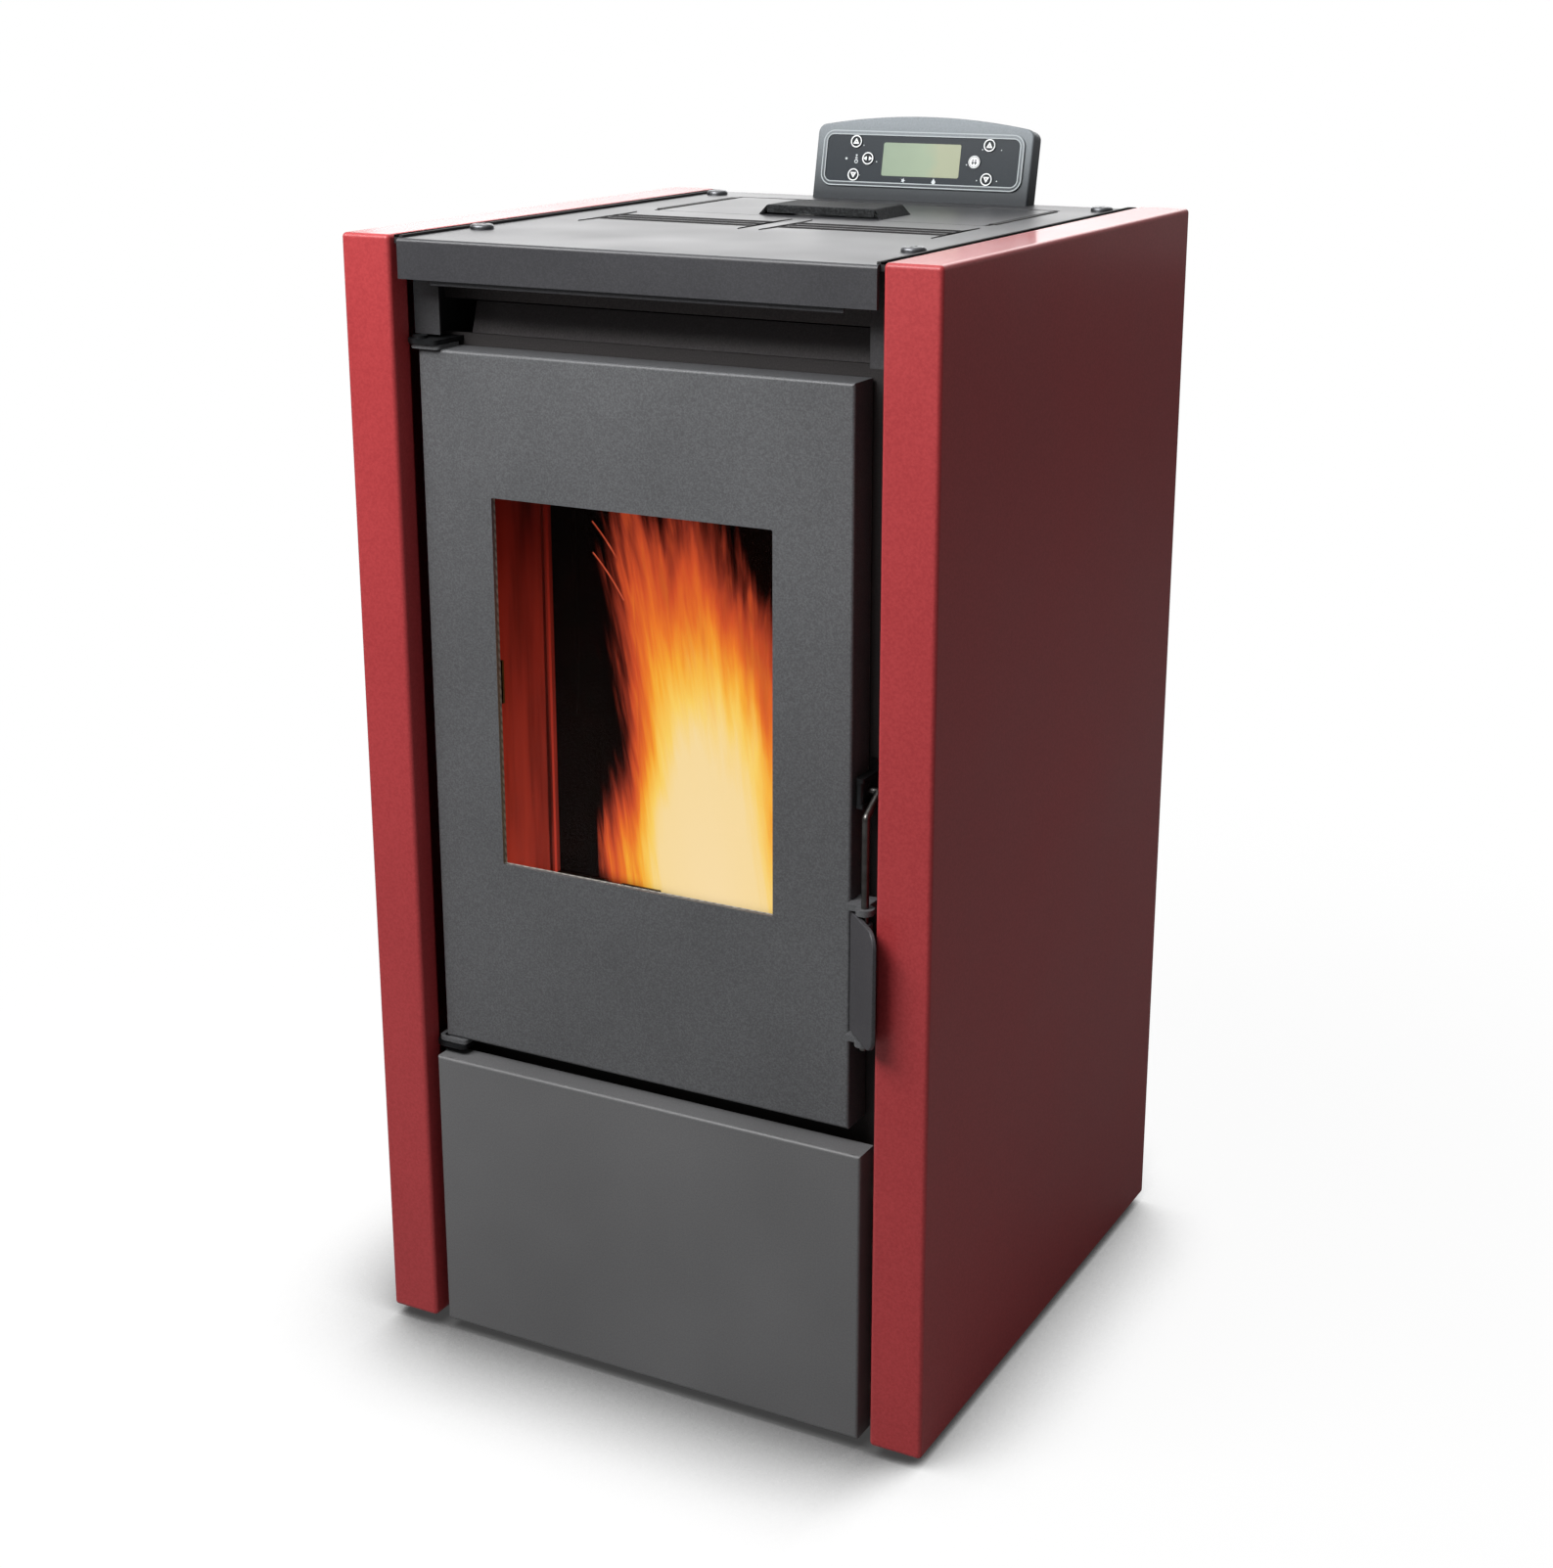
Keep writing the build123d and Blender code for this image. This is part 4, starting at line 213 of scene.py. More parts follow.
# Thick sheet of the firebox and smoke path, brushed with heat-proof paint: dull black.
firePaint = dict(stovePaint, colour="#1f1d1d", dark="#1a1818", light="#252322",
                 grainSize=2.2, roughness=0.75, bump=0.3, bumpHeight=0.15)
giveMaterial(coatedSheet("firePaint", firePaint), "firebox_shell", "burn_pot_shelf", "auger_tube",
             "smoke_fan_housing", "flue_outlet", "air_inlet_pipe")
print("coated sheet done")


# Bare metals.

def zincSheet(name, look):
    # Hot-dip galvanised sheet: grey metal in flat crystals, each with its own tone and shine.
    material, tree, surface, place = startMaterial(name, {"Metallic": 1.0})
    crystals = addNode(tree, "ShaderNodeTexVoronoi",
                       {"Scale": perMetre(look["crystalSize"]), "Randomness": 1.0}, {"Vector": place})
    scratches = addNode(tree, "ShaderNodeTexNoise",
                        {"Scale": perMetre(look["grainSize"]), "Detail": 4.0}, {"Vector": place})
    tone = addNode(tree, "ShaderNodeValToRGB", {
        "stops": [(0.1, look["dark"]), (0.5, look["colour"]), (0.9, look["light"])],
    }, {"Fac": crystals.outputs["Color"]})
    tree.links.new(tone.outputs["Color"], surface.inputs["Base Color"])
    shine = addNode(tree, "ShaderNodeMapRange", {3: look["roughness"] - 0.08, 4: look["roughness"] + 0.1},
                    {0: crystals.outputs["Color"]})
    tree.links.new(shine.outputs[0], surface.inputs["Roughness"])
    bump = addNode(tree, "ShaderNodeBump", {"Strength": 0.15, "Distance": 0.05 * mm},
                   {"Height": scratches.outputs["Fac"]})
    tree.links.new(bump.outputs["Normal"], surface.inputs["Normal"])
    return material


galvanisedSheet = {
    "colour": "#84878a", "dark": "#74777a", "light": "#969a9c",
    "crystalSize": 9, "grainSize": 1.4, "roughness": 0.42,
}
giveMaterial(zincSheet("galvanisedSheet", galvanisedSheet), "hopper", "rear_panel",
             "blower_housing", "smoke_duct", "door_inner_frame")


def bareMetal(name, look):
    # Bare metal with fine marks along one axis, and slight stains.
    material, tree, surface, place = startMaterial(name, {"Metallic": 1.0, "Roughness": look["roughness"]})
    stretch = addNode(tree, "ShaderNodeMapping", {"Scale": look["marksAlong"]}, {"Vector": place})
    marks = addNode(tree, "ShaderNodeTexNoise",
                    {"Scale": perMetre(look["markWidth"]), "Detail": 4.0, "Roughness": 0.65},
                    {"Vector": stretch.outputs["Vector"]})
    stains = addNode(tree, "ShaderNodeTexNoise", {"Scale": perMetre(look["stainSize"]), "Detail": 3.0},
                     {"Vector": place})
    tone = addNode(tree, "ShaderNodeValToRGB", {
        "stops": [(0.35, look["dark"]), (0.65, look["colour"])],
    }, {"Fac": stains.outputs["Fac"]})
    tree.links.new(tone.outputs["Color"], surface.inputs["Base Color"])
    shine = addNode(tree, "ShaderNodeMapRange", {3: look["roughness"] - 0.08, 4: look["roughness"] + 0.12},
                    {0: marks.outputs["Fac"]})
    tree.links.new(shine.outputs[0], surface.inputs["Roughness"])
    bump = addNode(tree, "ShaderNodeBump", {"Strength": look["bump"], "Distance": 0.06 * mm},
                   {"Height": marks.outputs["Fac"]})
    tree.links.new(bump.outputs["Normal"], surface.inputs["Normal"])
    return material


# Zinc-plated rod: bright, nearly white metal, lightly drawn along its length.
zincRod = {
    "colour": "#c9cbcc", "dark": "#aeb1b3", "marksAlong": (1, 1, 0.1),
    "markWidth": 0.8, "stainSize": 14, "roughness": 0.26, "bump": 0.1,
}
giveMaterial(bareMetal("zincRod", zincRod), "hopper_grille")

# Phosphated hinge steel: dark grey, oily and matt.
hingeSteel = {
    "colour": "#3c3d3f", "dark": "#2b2c2d", "marksAlong": (1, 1, 0.3),
    "markWidth": 1.2, "stainSize": 9, "roughness": 0.45, "bump": 0.2,
}
giveMaterial(bareMetal("hingeSteel", hingeSteel), "door_hinge_brackets", "latch_striker")

# Drawn steel rod, blued by heat: dark grey with bright glints at its bends.
bluedRod = dict(zincRod, colour="#6f6d6b", dark="#53514f", roughness=0.3)
giveMaterial(bareMetal("bluedRod", bluedRod), "latch_rod")

# Black oxide screws: nearly black with a soft metal glint.
blackOxide = dict(hingeSteel, colour="#2f3032", dark="#1f2021", roughness=0.34)
giveMaterial(bareMetal("blackOxide", blackOxide), "rear_panel_screws", "glass_clips")

# The round cover screws: the same finish made lighter, as a painted highlight, so that their domes catch the
# light.
litScrewOxide = dict(blackOxide, colour="#77787b", dark="#5d5e61", roughness=0.38)
giveMaterial(bareMetal("litScrewOxide", litScrewOxide), "top_cover_screws")

# Nickel-plated magnets: bright, faintly yellow.
nickelPlate = dict(zincRod, colour="#b9b5aa", dark="#a5a197", roughness=0.2)
giveMaterial(bareMetal("nickelPlate", nickelPlate), "panel_magnets")

# Turned auger steel: clean grey steel with round tool marks, darker from dust.
turnedSteel = {
    "colour": "#8f9294", "dark": "#6f7173", "marksAlong": (0.2, 1, 1),
    "markWidth": 1.0, "stainSize": 20, "roughness": 0.34, "bump": 0.25,
}
giveMaterial(bareMetal("turnedSteel", turnedSteel), "auger_screw")

# Rolled steel pan: plain grey with ash dust in the low spots.
rolledSteel = dict(turnedSteel, colour="#7d7c7a", dark="#5f5d59", marksAlong=(0.1, 1, 1),
                   stainSize=35, roughness=0.5)
giveMaterial(bareMetal("rolledSteel", rolledSteel), "ash_pan")

# Die-cast aluminium motors: pale grey, grainy and dull.
dieCastAluminium = {
    "colour": "#a2a4a6", "dark": "#8b8d90", "marksAlong": (1, 1, 1),
    "markWidth": 1.3, "stainSize": 25, "roughness": 0.5, "bump": 0.45,
}
giveMaterial(bareMetal("dieCastAluminium", dieCastAluminium),
             "auger_gear_motor", "smoke_fan_motor", "blower_motor")

# Pressed aluminium sheet: paler, with rolling marks along its blades.
pressedAluminium = dict(dieCastAluminium, colour="#b9bbbd", dark="#a3a6a8", marksAlong=(0.08, 1, 1),
                        markWidth=0.7, roughness=0.32, bump=0.15)
giveMaterial(bareMetal("pressedAluminium", pressedAluminium), "blower_drum", "smoke_fan_wheel")


def castIron(name, look):
    # Sand-cast iron under soot: coarse grain, with pale ash lying in patches.
    material, tree, surface, place = startMaterial(name, {"Roughness": 0.9, "IOR": 1.2})
    sand = addNode(tree, "ShaderNodeTexNoise",
                   {"Scale": perMetre(look["sandSize"]), "Detail": 5.0, "Roughness": 0.7},
                   {"Vector": place})
    ash = addNode(tree, "ShaderNodeTexNoise",
                  {"Scale": perMetre(look["ashSize"]), "Detail": 4.0, "Distortion": 0.6},
                  {"Vector": place})
    tone = addNode(tree, "ShaderNodeValToRGB", {
        "stops": [(0.35, look["soot"]), (0.55, look["iron"]), (0.78, look["ash"])],
    }, {"Fac": ash.outputs["Fac"]})
    tree.links.new(tone.outputs["Color"], surface.inputs["Base Color"])
    bump = addNode(tree, "ShaderNodeBump", {"Strength": 0.7, "Distance": 0.5 * mm},
                   {"Height": sand.outputs["Fac"]})
    tree.links.new(bump.outputs["Normal"], surface.inputs["Normal"])
    return material


# Cast iron of the back plate under soot: almost black, sandy, with a dark red cast painted in for the fire's
# light on it.
sootedIron = {"soot": "#080101", "iron": "#0e0102", "ash": "#180405", "sandSize": 2.5, "ashSize": 40}
giveMaterial(castIron("sootedIron", sootedIron), "firebox_back_lining")
# The burn pot, of the same iron: browner, with smaller and paler patches of ash.
potIron = dict(sootedIron, iron="#2b2623", ash="#6b6258", ashSize=14)
giveMaterial(castIron("potIron", potIron), "burn_pot")

# Side plates of the fire chamber, in mm up and back. Their red glow is the fire's light, painted in as
# emission.
fireLitPlate = {
    "scale": "#571811", "bare": "#8a2c22", "pale": "#9c3427",
    "streakWidth": 16, "streakStretch": 0.10,
    "fireLightLow": 343, "fireLightHigh": 615, "glow": 0.75,
    "fireLightFade": [(0.0, "#ffffff"), (0.5, "#c8b4b0"), (0.85, "#6a4444"), (1.0, "#3a1414")],
    "edgeAt": -88.5, "edgeWidth": 3.0, "edgeGlow": "#c23e30",
    "gapAt": -94.5, "gapWidth": 3.5, "gapGlow": "#1d0605",
}


def heatTintAndFireLight(name, look):
    # Steel plate tinted by heat: brown-red, in broad soft upright streaks. The fire's light on it is painted
    # in as emission, fading to dark towards the top, with a painted highlight line where its rear edge
    # catches the fire.
    material, tree, surface, place = startMaterial(name, {
        "Roughness": 0.7, "IOR": 1.3, "Emission Strength": look["glow"],
    })
    stretch = addNode(tree, "ShaderNodeMapping", {"Scale": (1, 1, look["streakStretch"])}, {"Vector": place})
    streaks = addNode(tree, "ShaderNodeTexNoise",
                      {"Scale": perMetre(look["streakWidth"]), "Detail": 3.0, "Roughness": 0.5},
                      {"Vector": stretch.outputs["Vector"]})
    tone = addNode(tree, "ShaderNodeValToRGB", {
        "stops": [(0.3, look["scale"]), (0.52, look["bare"]), (0.75, look["pale"])],
    }, {"Fac": streaks.outputs["Fac"]})
    tree.links.new(tone.outputs["Color"], surface.inputs["Base Color"])
    parts = addNode(tree, "ShaderNodeSeparateXYZ", links={"Vector": place})
    # painted fire light: full at the low mark, fading to dark at the high one
    dimming = addNode(tree, "ShaderNodeMapRange", {1: look["fireLightLow"] * mm, 2: look["fireLightHigh"] * mm},
                   {0: parts.outputs["Z"]})
    glowTone = addNode(tree, "ShaderNodeValToRGB", {"stops": look["fireLightFade"]}, {"Fac": dimming.outputs[0]})
    fireLitTone = addNode(tree, "ShaderNodeMix", {"data_type": "RGBA", "blend_type": "MULTIPLY", 0: 1.0},
                   {6: tone.outputs["Color"], 7: glowTone.outputs["Color"]})
    last = fireLitTone.outputs[2]
    # the painted fire light is darkened along the gap and brightened into a painted highlight line at the
    # rear edge
    for strip in ("gap", "edge"):
        line = addNode(tree, "ShaderNodeMath", {
            "operation": "COMPARE", 1: look[strip + "At"] * mm, 2: look[strip + "Width"] / 2 * mm,
        }, {0: parts.outputs["Y"]})
        dim = addNode(tree, "ShaderNodeMix", {
            "data_type": "RGBA", "blend_type": "MULTIPLY", 0: 1.0, 6: linearColour(look[strip + "Glow"]),
        }, {7: glowTone.outputs["Color"]})
        lined = addNode(tree, "ShaderNodeMix", {"data_type": "RGBA"},
                        {0: line.outputs[0], 6: last, 7: dim.outputs[2]})
        last = lined.outputs[2]
    tree.links.new(last, surface.inputs["Emission Color"])
    bump = addNode(tree, "ShaderNodeBump", {"Strength": 0.2, "Distance": 0.2 * mm},
                   {"Height": streaks.outputs["Fac"]})
    tree.links.new(bump.outputs["Normal"], surface.inputs["Normal"])
    return material


giveMaterial(heatTintAndFireLight("heatTintAndFireLight", fireLitPlate), "firebox_side_linings")
print("metals done")


# Glass, seals, ceramic, rubber.

# Clear glass-ceramic pane: faint warm tint, sharp reflections, thin smoke haze near its lower edge.
stoveGlass = {"tint": "#f8f4ec", "roughness": 0.0, "ior": 1.16,
              "hazeSize": 30, "haze": 0.05, "hazeFull": 10, "hazeGone": 60}    # mm, up from the lower edge


def glassCeramic(name, look):
    material, tree, surface, place = startMaterial(name, {
        "Base Color": linearColour(look["tint"]), "Roughness": look["roughness"],
        "IOR": look["ior"], "Transmission Weight": 1.0,
    })
    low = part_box("door_glass")[0]
    smoke = addNode(tree, "ShaderNodeTexNoise", {"Scale": perMetre(look["hazeSize"]), "Detail": 3.0},
                    {"Vector": place})
    heights = addNode(tree, "ShaderNodeSeparateXYZ", links={"Vector": place})
    near = addNode(tree, "ShaderNodeMapRange", {
        1: low.z + look["hazeFull"] * mm, 2: low.z + look["hazeGone"] * mm, 3: look["haze"], 4: 0.0,
    }, {0: heights.outputs["Z"]})
    haze = addNode(tree, "ShaderNodeMath", {"operation": "MULTIPLY"},
                   {0: smoke.outputs["Fac"], 1: near.outputs[0]})
    tree.links.new(haze.outputs[0], surface.inputs["Roughness"])
    return material


giveMaterial(glassCeramic("glassCeramic", stoveGlass), "door_glass")


def wovenGlass(name, look):
    # Woven glass fibre: grey-white yarns crossing, slightly soiled.
    material, tree, surface, place = startMaterial(name, {"Roughness": 0.9, "Sheen Weight": 0.2})
    yarns = {
        "Scale": perMetre(look["yarn"]) / (2 * math.pi), "wave_type": "BANDS",
        "bands_direction": "DIAGONAL", "Distortion": 0.4,
    }
    weft = addNode(tree, "ShaderNodeTexWave", yarns, {"Vector": place})
    turn = addNode(tree, "ShaderNodeMapping", {"Scale": (-1, 1, 1)}, {"Vector": place})
    warp = addNode(tree, "ShaderNodeTexWave", yarns, {"Vector": turn.outputs["Vector"]})
    weave = addNode(tree, "ShaderNodeMath", {"operation": "MAXIMUM"},
                    {0: weft.outputs["Fac"], 1: warp.outputs["Fac"]})
    tone = addNode(tree, "ShaderNodeValToRGB", {
        "stops": [(0.0, look["dark"]), (1.0, look["colour"])],
    }, {"Fac": weave.outputs[0]})
    tree.links.new(tone.outputs["Color"], surface.inputs["Base Color"])
    bump = addNode(tree, "ShaderNodeBump", {"Strength": 0.8, "Distance": 0.4 * mm},
                   {"Height": weave.outputs[0]})
    tree.links.new(bump.outputs["Normal"], surface.inputs["Normal"])
    return material


# Flat glass tape behind the pane, and the graphite-blackened rope round the door.
glassTapeWeave = {"colour": "#8d8c86", "dark": "#5c5b57", "yarn": 1.6}
giveMaterial(wovenGlass("glassTapeWeave", glassTapeWeave), "glass_tape")
ropeBraid = {"colour": "#4f4e4b", "dark": "#1f1e1d", "yarn": 2.4}
giveMaterial(wovenGlass("ropeBraid", ropeBraid), "door_rope_seal")


igniterCeramic = {
    "colour": "#d8d0c0", "speck": "#bfb39d", "burnt": "#5a4636",
    "speckSize": 3, "scorch": 0.5, "scorchLength": 30,
}


def ceramicRod(name, look):
    # Fired ceramic, cream and dry, scorched brown towards the hot end.
    material, tree, surface, place = startMaterial(name, {"Roughness": 0.7})
    spots = addNode(tree, "ShaderNodeTexNoise", {"Scale": perMetre(look["speckSize"]), "Detail": 4.0},
                    {"Vector": place})
    along = addNode(tree, "ShaderNodeSeparateXYZ", links={"Vector": place})
    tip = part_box("igniter")[0].y
    scorch = addNode(tree, "ShaderNodeMapRange", {
        1: tip, 2: tip + look["scorchLength"] * mm, 3: look["scorch"], 4: 0.0,
    }, {0: along.outputs["Y"]})
    burnt = addNode(tree, "ShaderNodeMath", {"operation": "ADD"},
                    {0: spots.outputs["Fac"], 1: scorch.outputs[0]})
    tone = addNode(tree, "ShaderNodeValToRGB", {
        "stops": [(0.35, look["colour"]), (0.6, look["speck"]), (0.95, look["burnt"])],
    }, {"Fac": burnt.outputs[0]})
    tree.links.new(tone.outputs["Color"], surface.inputs["Base Color"])
    bump = addNode(tree, "ShaderNodeBump", {"Strength": 0.3, "Distance": 0.1 * mm},
                   {"Height": spots.outputs["Fac"]})
    tree.links.new(bump.outputs["Normal"], surface.inputs["Normal"])
    return material


giveMaterial(ceramicRod("ceramicRod", igniterCeramic), "igniter")

footFinish = {
    "padTop": 7.8,           # mm above the floor: rubber below, zinc above
    "rubber": "#161616", "rubberWorn": "#262626", "zinc": "#b4b6b8", "zincDark": "#93969a",
    "gritSize": 1.2,
}


def rubberOnZinc(name, look):
    # Moulded rubber pads, and above them the zinc-plated nut and stud.
    material, tree, surface, place = startMaterial(name, {})
    grit = addNode(tree, "ShaderNodeTexNoise", {"Scale": perMetre(look["gritSize"]), "Detail": 3.0},
                   {"Vector": place})
    heights = addNode(tree, "ShaderNodeSeparateXYZ", links={"Vector": place})
    isMetal = addNode(tree, "ShaderNodeMath", {"operation": "GREATER_THAN", 1: look["padTop"] * mm},
                      {0: heights.outputs["Z"]})
    rubber = addNode(tree, "ShaderNodeValToRGB", {
        "stops": [(0.4, look["rubber"]), (0.7, look["rubberWorn"])],
    }, {"Fac": grit.outputs["Fac"]})
    zinc = addNode(tree, "ShaderNodeValToRGB", {
        "stops": [(0.3, look["zincDark"]), (0.7, look["zinc"])],
    }, {"Fac": grit.outputs["Fac"]})
    mixed = addNode(tree, "ShaderNodeMix", {"data_type": "RGBA"},
                    {0: isMetal.outputs[0], 6: rubber.outputs["Color"], 7: zinc.outputs["Color"]})
    tree.links.new(mixed.outputs[2], surface.inputs["Base Color"])
    tree.links.new(isMetal.outputs[0], surface.inputs["Metallic"])
    shine = addNode(tree, "ShaderNodeMapRange", {3: 0.75, 4: 0.3}, {0: isMetal.outputs[0]})
    tree.links.new(shine.outputs[0], surface.inputs["Roughness"])
    bump = addNode(tree, "ShaderNodeBump", {"Strength": 0.3, "Distance": 0.1 * mm},
                   {"Height": grit.outputs["Fac"]})
    tree.links.new(bump.outputs["Normal"], surface.inputs["Normal"])
    return material


giveMaterial(rubberOnZinc("rubberOnZinc", footFinish), "levelling_feet")
print("glass, seals and feet done")


# Plastics and the control board.

def mouldedPlastic(name, look):
    # Injection-moulded plastic: fine spark-eroded grain with a low even sheen. An optional painted shade
    # makes the tone fall off downward, between heights given in mm.
    material, tree, surface, place = startMaterial(name, {
        "Roughness": look["roughness"], "IOR": look["ior"], "Coat Weight": look["coat"],
        "Coat Roughness": 0.15, "Metallic": look["metallic"],
    })
    grain = addNode(tree, "ShaderNodeTexNoise", {"Scale": perMetre(look["grainSize"]), "Detail": 3.0},
                    {"Vector": place})
    tone = addNode(tree, "ShaderNodeValToRGB", {
        "stops": [(0.35, look["dark"]), (0.65, look["colour"])],
    }, {"Fac": grain.outputs["Fac"]})
    last = tone.outputs["Color"]
    if "shadeDownward" in look:
        low, high, shadedTone = look["shadeDownward"]
        # painted shade: the tone is darker towards the bottom
        heights = addNode(tree, "ShaderNodeSeparateXYZ", links={"Vector": place})
        share = addNode(tree, "ShaderNodeMapRange", {1: low * mm, 2: high * mm}, {0: heights.outputs["Z"]})
        shadeRamp = addNode(tree, "ShaderNodeValToRGB", {"stops": [(0.0, shadedTone), (1.0, "#ffffff")]},
                       {"Fac": share.outputs[0]})
        shadedDown = addNode(tree, "ShaderNodeMix", {"data_type": "RGBA", "blend_type": "MULTIPLY", 0: 1.0},
                        {6: last, 7: shadeRamp.outputs["Color"]})
        last = shadedDown.outputs[2]
    tree.links.new(last, surface.inputs["Base Color"])
    shine = addNode(tree, "ShaderNodeMapRange", {3: look["roughness"] - 0.05, 4: look["roughness"] + 0.07},
                    {0: grain.outputs["Fac"]})
    tree.links.new(shine.outputs[0], surface.inputs["Roughness"])
    bump = addNode(tree, "ShaderNodeBump", {"Strength": look["bump"], "Distance": 0.05 * mm},
                   {"Height": grain.outputs["Fac"]})
    tree.links.new(bump.outputs["Normal"], surface.inputs["Normal"])
    return material


# ABS with metal flake paint on the control housing: blue-grey with bright edges, and painted shade darkening
# it downward.
flakeAbs = {"colour": "#868c90", "dark": "#7a8084", "grainSize": 0.8, "roughness": 0.46, "ior": 1.3,
            "coat": 0.0, "metallic": 0.1, "bump": 0.15, "shadeDownward": (794, 848, "#5b5d60")}
giveMaterial(mouldedPlastic("flakeAbs", flakeAbs), "control_housing")

# Printed polyester film over the panel: flat slate grey, slightly glossy.
printedFilm = {"colour": "#2d3338", "dark": "#292e33", "grainSize": 0.6, "roughness": 0.24, "ior": 1.22,
               "coat": 0.0, "metallic": 0.0, "bump": 0.08}
giveMaterial(mouldedPlastic("printedFilm", printedFilm), "control_overlay")

# Domed keys under the same film, a shade darker.
keyFilm = dict(printedFilm, colour="#1f2427", dark="#1c2023")
giveMaterial(mouldedPlastic("keyFilm", keyFilm), "key_left_up", "key_left_down", "key_mode",
             "key_right_up", "key_right_down", "key_power")

# Glass-filled nylon of the mains inlet and its rocker: flat black.
blackNylon = {"colour": "#1b1b1c", "dark": "#141415", "grainSize": 0.9, "roughness": 0.5, "ior": 1.49,
              "coat": 0.0, "metallic": 0.0, "bump": 0.3}
giveMaterial(mouldedPlastic("blackNylon", blackNylon), "mains_inlet", "mains_rocker")


screenGlass = {
    "left": "#889784", "middle": "#92a08a", "right": "#9ca189", "backlight": 0.05,
    "cloudSize": 18, "cloud": 0.35,
}


def liquidCrystal(name, look):
    # Screen at rest: grey-green and even, a little warmer to the right, under clear glass.
    low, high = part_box("display_window")
    material, tree, surface, place = startMaterial(name, {
        "Roughness": 0.22, "IOR": 1.22, "Emission Strength": look["backlight"],
    })
    across = addNode(tree, "ShaderNodeSeparateXYZ", links={"Vector": place})
    share = addNode(tree, "ShaderNodeMapRange", {1: low.x, 2: high.x}, {0: across.outputs["X"]})
    cloud = addNode(tree, "ShaderNodeTexNoise", {"Scale": perMetre(look["cloudSize"]), "Detail": 1.0},
                    {"Vector": place})
    wobble = addNode(tree, "ShaderNodeMath", {"operation": "MULTIPLY_ADD", 1: look["cloud"]},
                     {0: cloud.outputs["Fac"], 2: share.outputs[0]})
    tone = addNode(tree, "ShaderNodeValToRGB", {
        "stops": [(0.1, look["left"]), (0.7, look["middle"]), (1.2 / (1 + look["cloud"]), look["right"])],
    }, {"Fac": wobble.outputs[0]})
    tree.links.new(tone.outputs["Color"], surface.inputs["Base Color"])
    tree.links.new(tone.outputs["Color"], surface.inputs["Emission Color"])
    return material


giveMaterial(liquidCrystal("liquidCrystal", screenGlass), "display_window")

solderMask = {
    "track": "#3d7a4f", "mask": "#1d5a33", "maskDark": "#174a2a", "parts": "#232425",
    "trackSize": 3.2, "boardTop": 9.2,
}


def circuitBoard(name, look):
    # Green solder mask with fine tracks, and dark moulded parts standing on it.
    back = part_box("control_board")[0].x
    material, tree, surface, place = startMaterial(name, {"Roughness": 0.35, "IOR": 1.5})
    tracks = addNode(tree, "ShaderNodeTexVoronoi", {
        "Scale": perMetre(look["trackSize"]), "distance": "CHEBYCHEV", "feature": "F1",
    }, {"Vector": place})
    mask = addNode(tree, "ShaderNodeValToRGB", {
        "stops": [(0.25, look["track"]), (0.4, look["mask"]), (0.9, look["maskDark"])],
    }, {"Fac": tracks.outputs["Distance"]})
    across = addNode(tree, "ShaderNodeSeparateXYZ", links={"Vector": place})
    stands = addNode(tree, "ShaderNodeMath", {
        "operation": "GREATER_THAN", 1: back + look["boardTop"] * mm,
    }, {0: across.outputs["X"]})
    parts = addNode(tree, "ShaderNodeMix", {"data_type": "RGBA", 7: linearColour(look["parts"])},
                    {0: stands.outputs[0], 6: mask.outputs["Color"]})
    tree.links.new(parts.outputs[2], surface.inputs["Base Color"])
    return material


giveMaterial(circuitBoard("circuitBoard", solderMask), "control_board")
print("plastics done")


# Tools for new pieces.

def finishPiece(name, shape, material, body, smooth=False):
    # a bmesh becomes a piece that rides on its body
    mesh = bpy.data.meshes.new(name)
    shape.to_mesh(mesh)
    shape.free()
    mesh.materials.append(material)
    for face in mesh.polygons:
        face.use_smooth = smooth
    piece = bpy.data.objects.new(name, mesh)
    bpy.context.scene.collection.objects.link(piece)
    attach(piece, body)
    return piece


def flatShape(shape, height):
    # gives a flat outline its thickness along +Z
    made = bmesh.ops.extrude_face_region(shape, geom=shape.faces[:])
    raised = [item for item in made["geom"] if isinstance(item, bmesh.types.BMVert)]
    bmesh.ops.translate(shape, verts=raised, vec=(0, 0, height))
    bmesh.ops.recalc_face_normals(shape, faces=shape.faces[:])


# Signs on the control panel.

panel = {
    "leanBack": 12,          # degrees, as the housing leans
    "keyRadius": 4.8,        # of a key's round front, mm
    "signHeight": 0.12,      # how proud the print stands, mm
    "overPrint": 0.1,        # how far dark print stands above the white, mm
    "ringOuter": 4.6, "ringInner": 3.8,
    "arrow": (2.9, 0.5), "pairedArrow": (1.9, 0.35),     # radius, and size of the cut corners
    "arrowShift": 0.4, "pairedShift": 1.9,
    "dotRadius": 0.55, "lampRadius": 0.45,
    "white": "#f2f5f6", "grey": "#c9d0d2", "dark": "#24292d",
}
lean = math.radians(panel["leanBack"])
panelTurn = Matrix(((1, 0, 0), (0, math.sin(lean), -math.cos(lean)), (0, math.cos(lean), math.sin(lean))))
keyRadius = panel["keyRadius"] * mm
overPrint = panelTurn @ Vector((0, 0, panel["overPrint"] * mm))


def keyFace(node):
    # middle of a key's front face
    low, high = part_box(node)
    return Vector(((low.x + high.x) / 2, low.y + keyRadius * math.sin(lean),
                   high.z - keyRadius * math.cos(lean)))


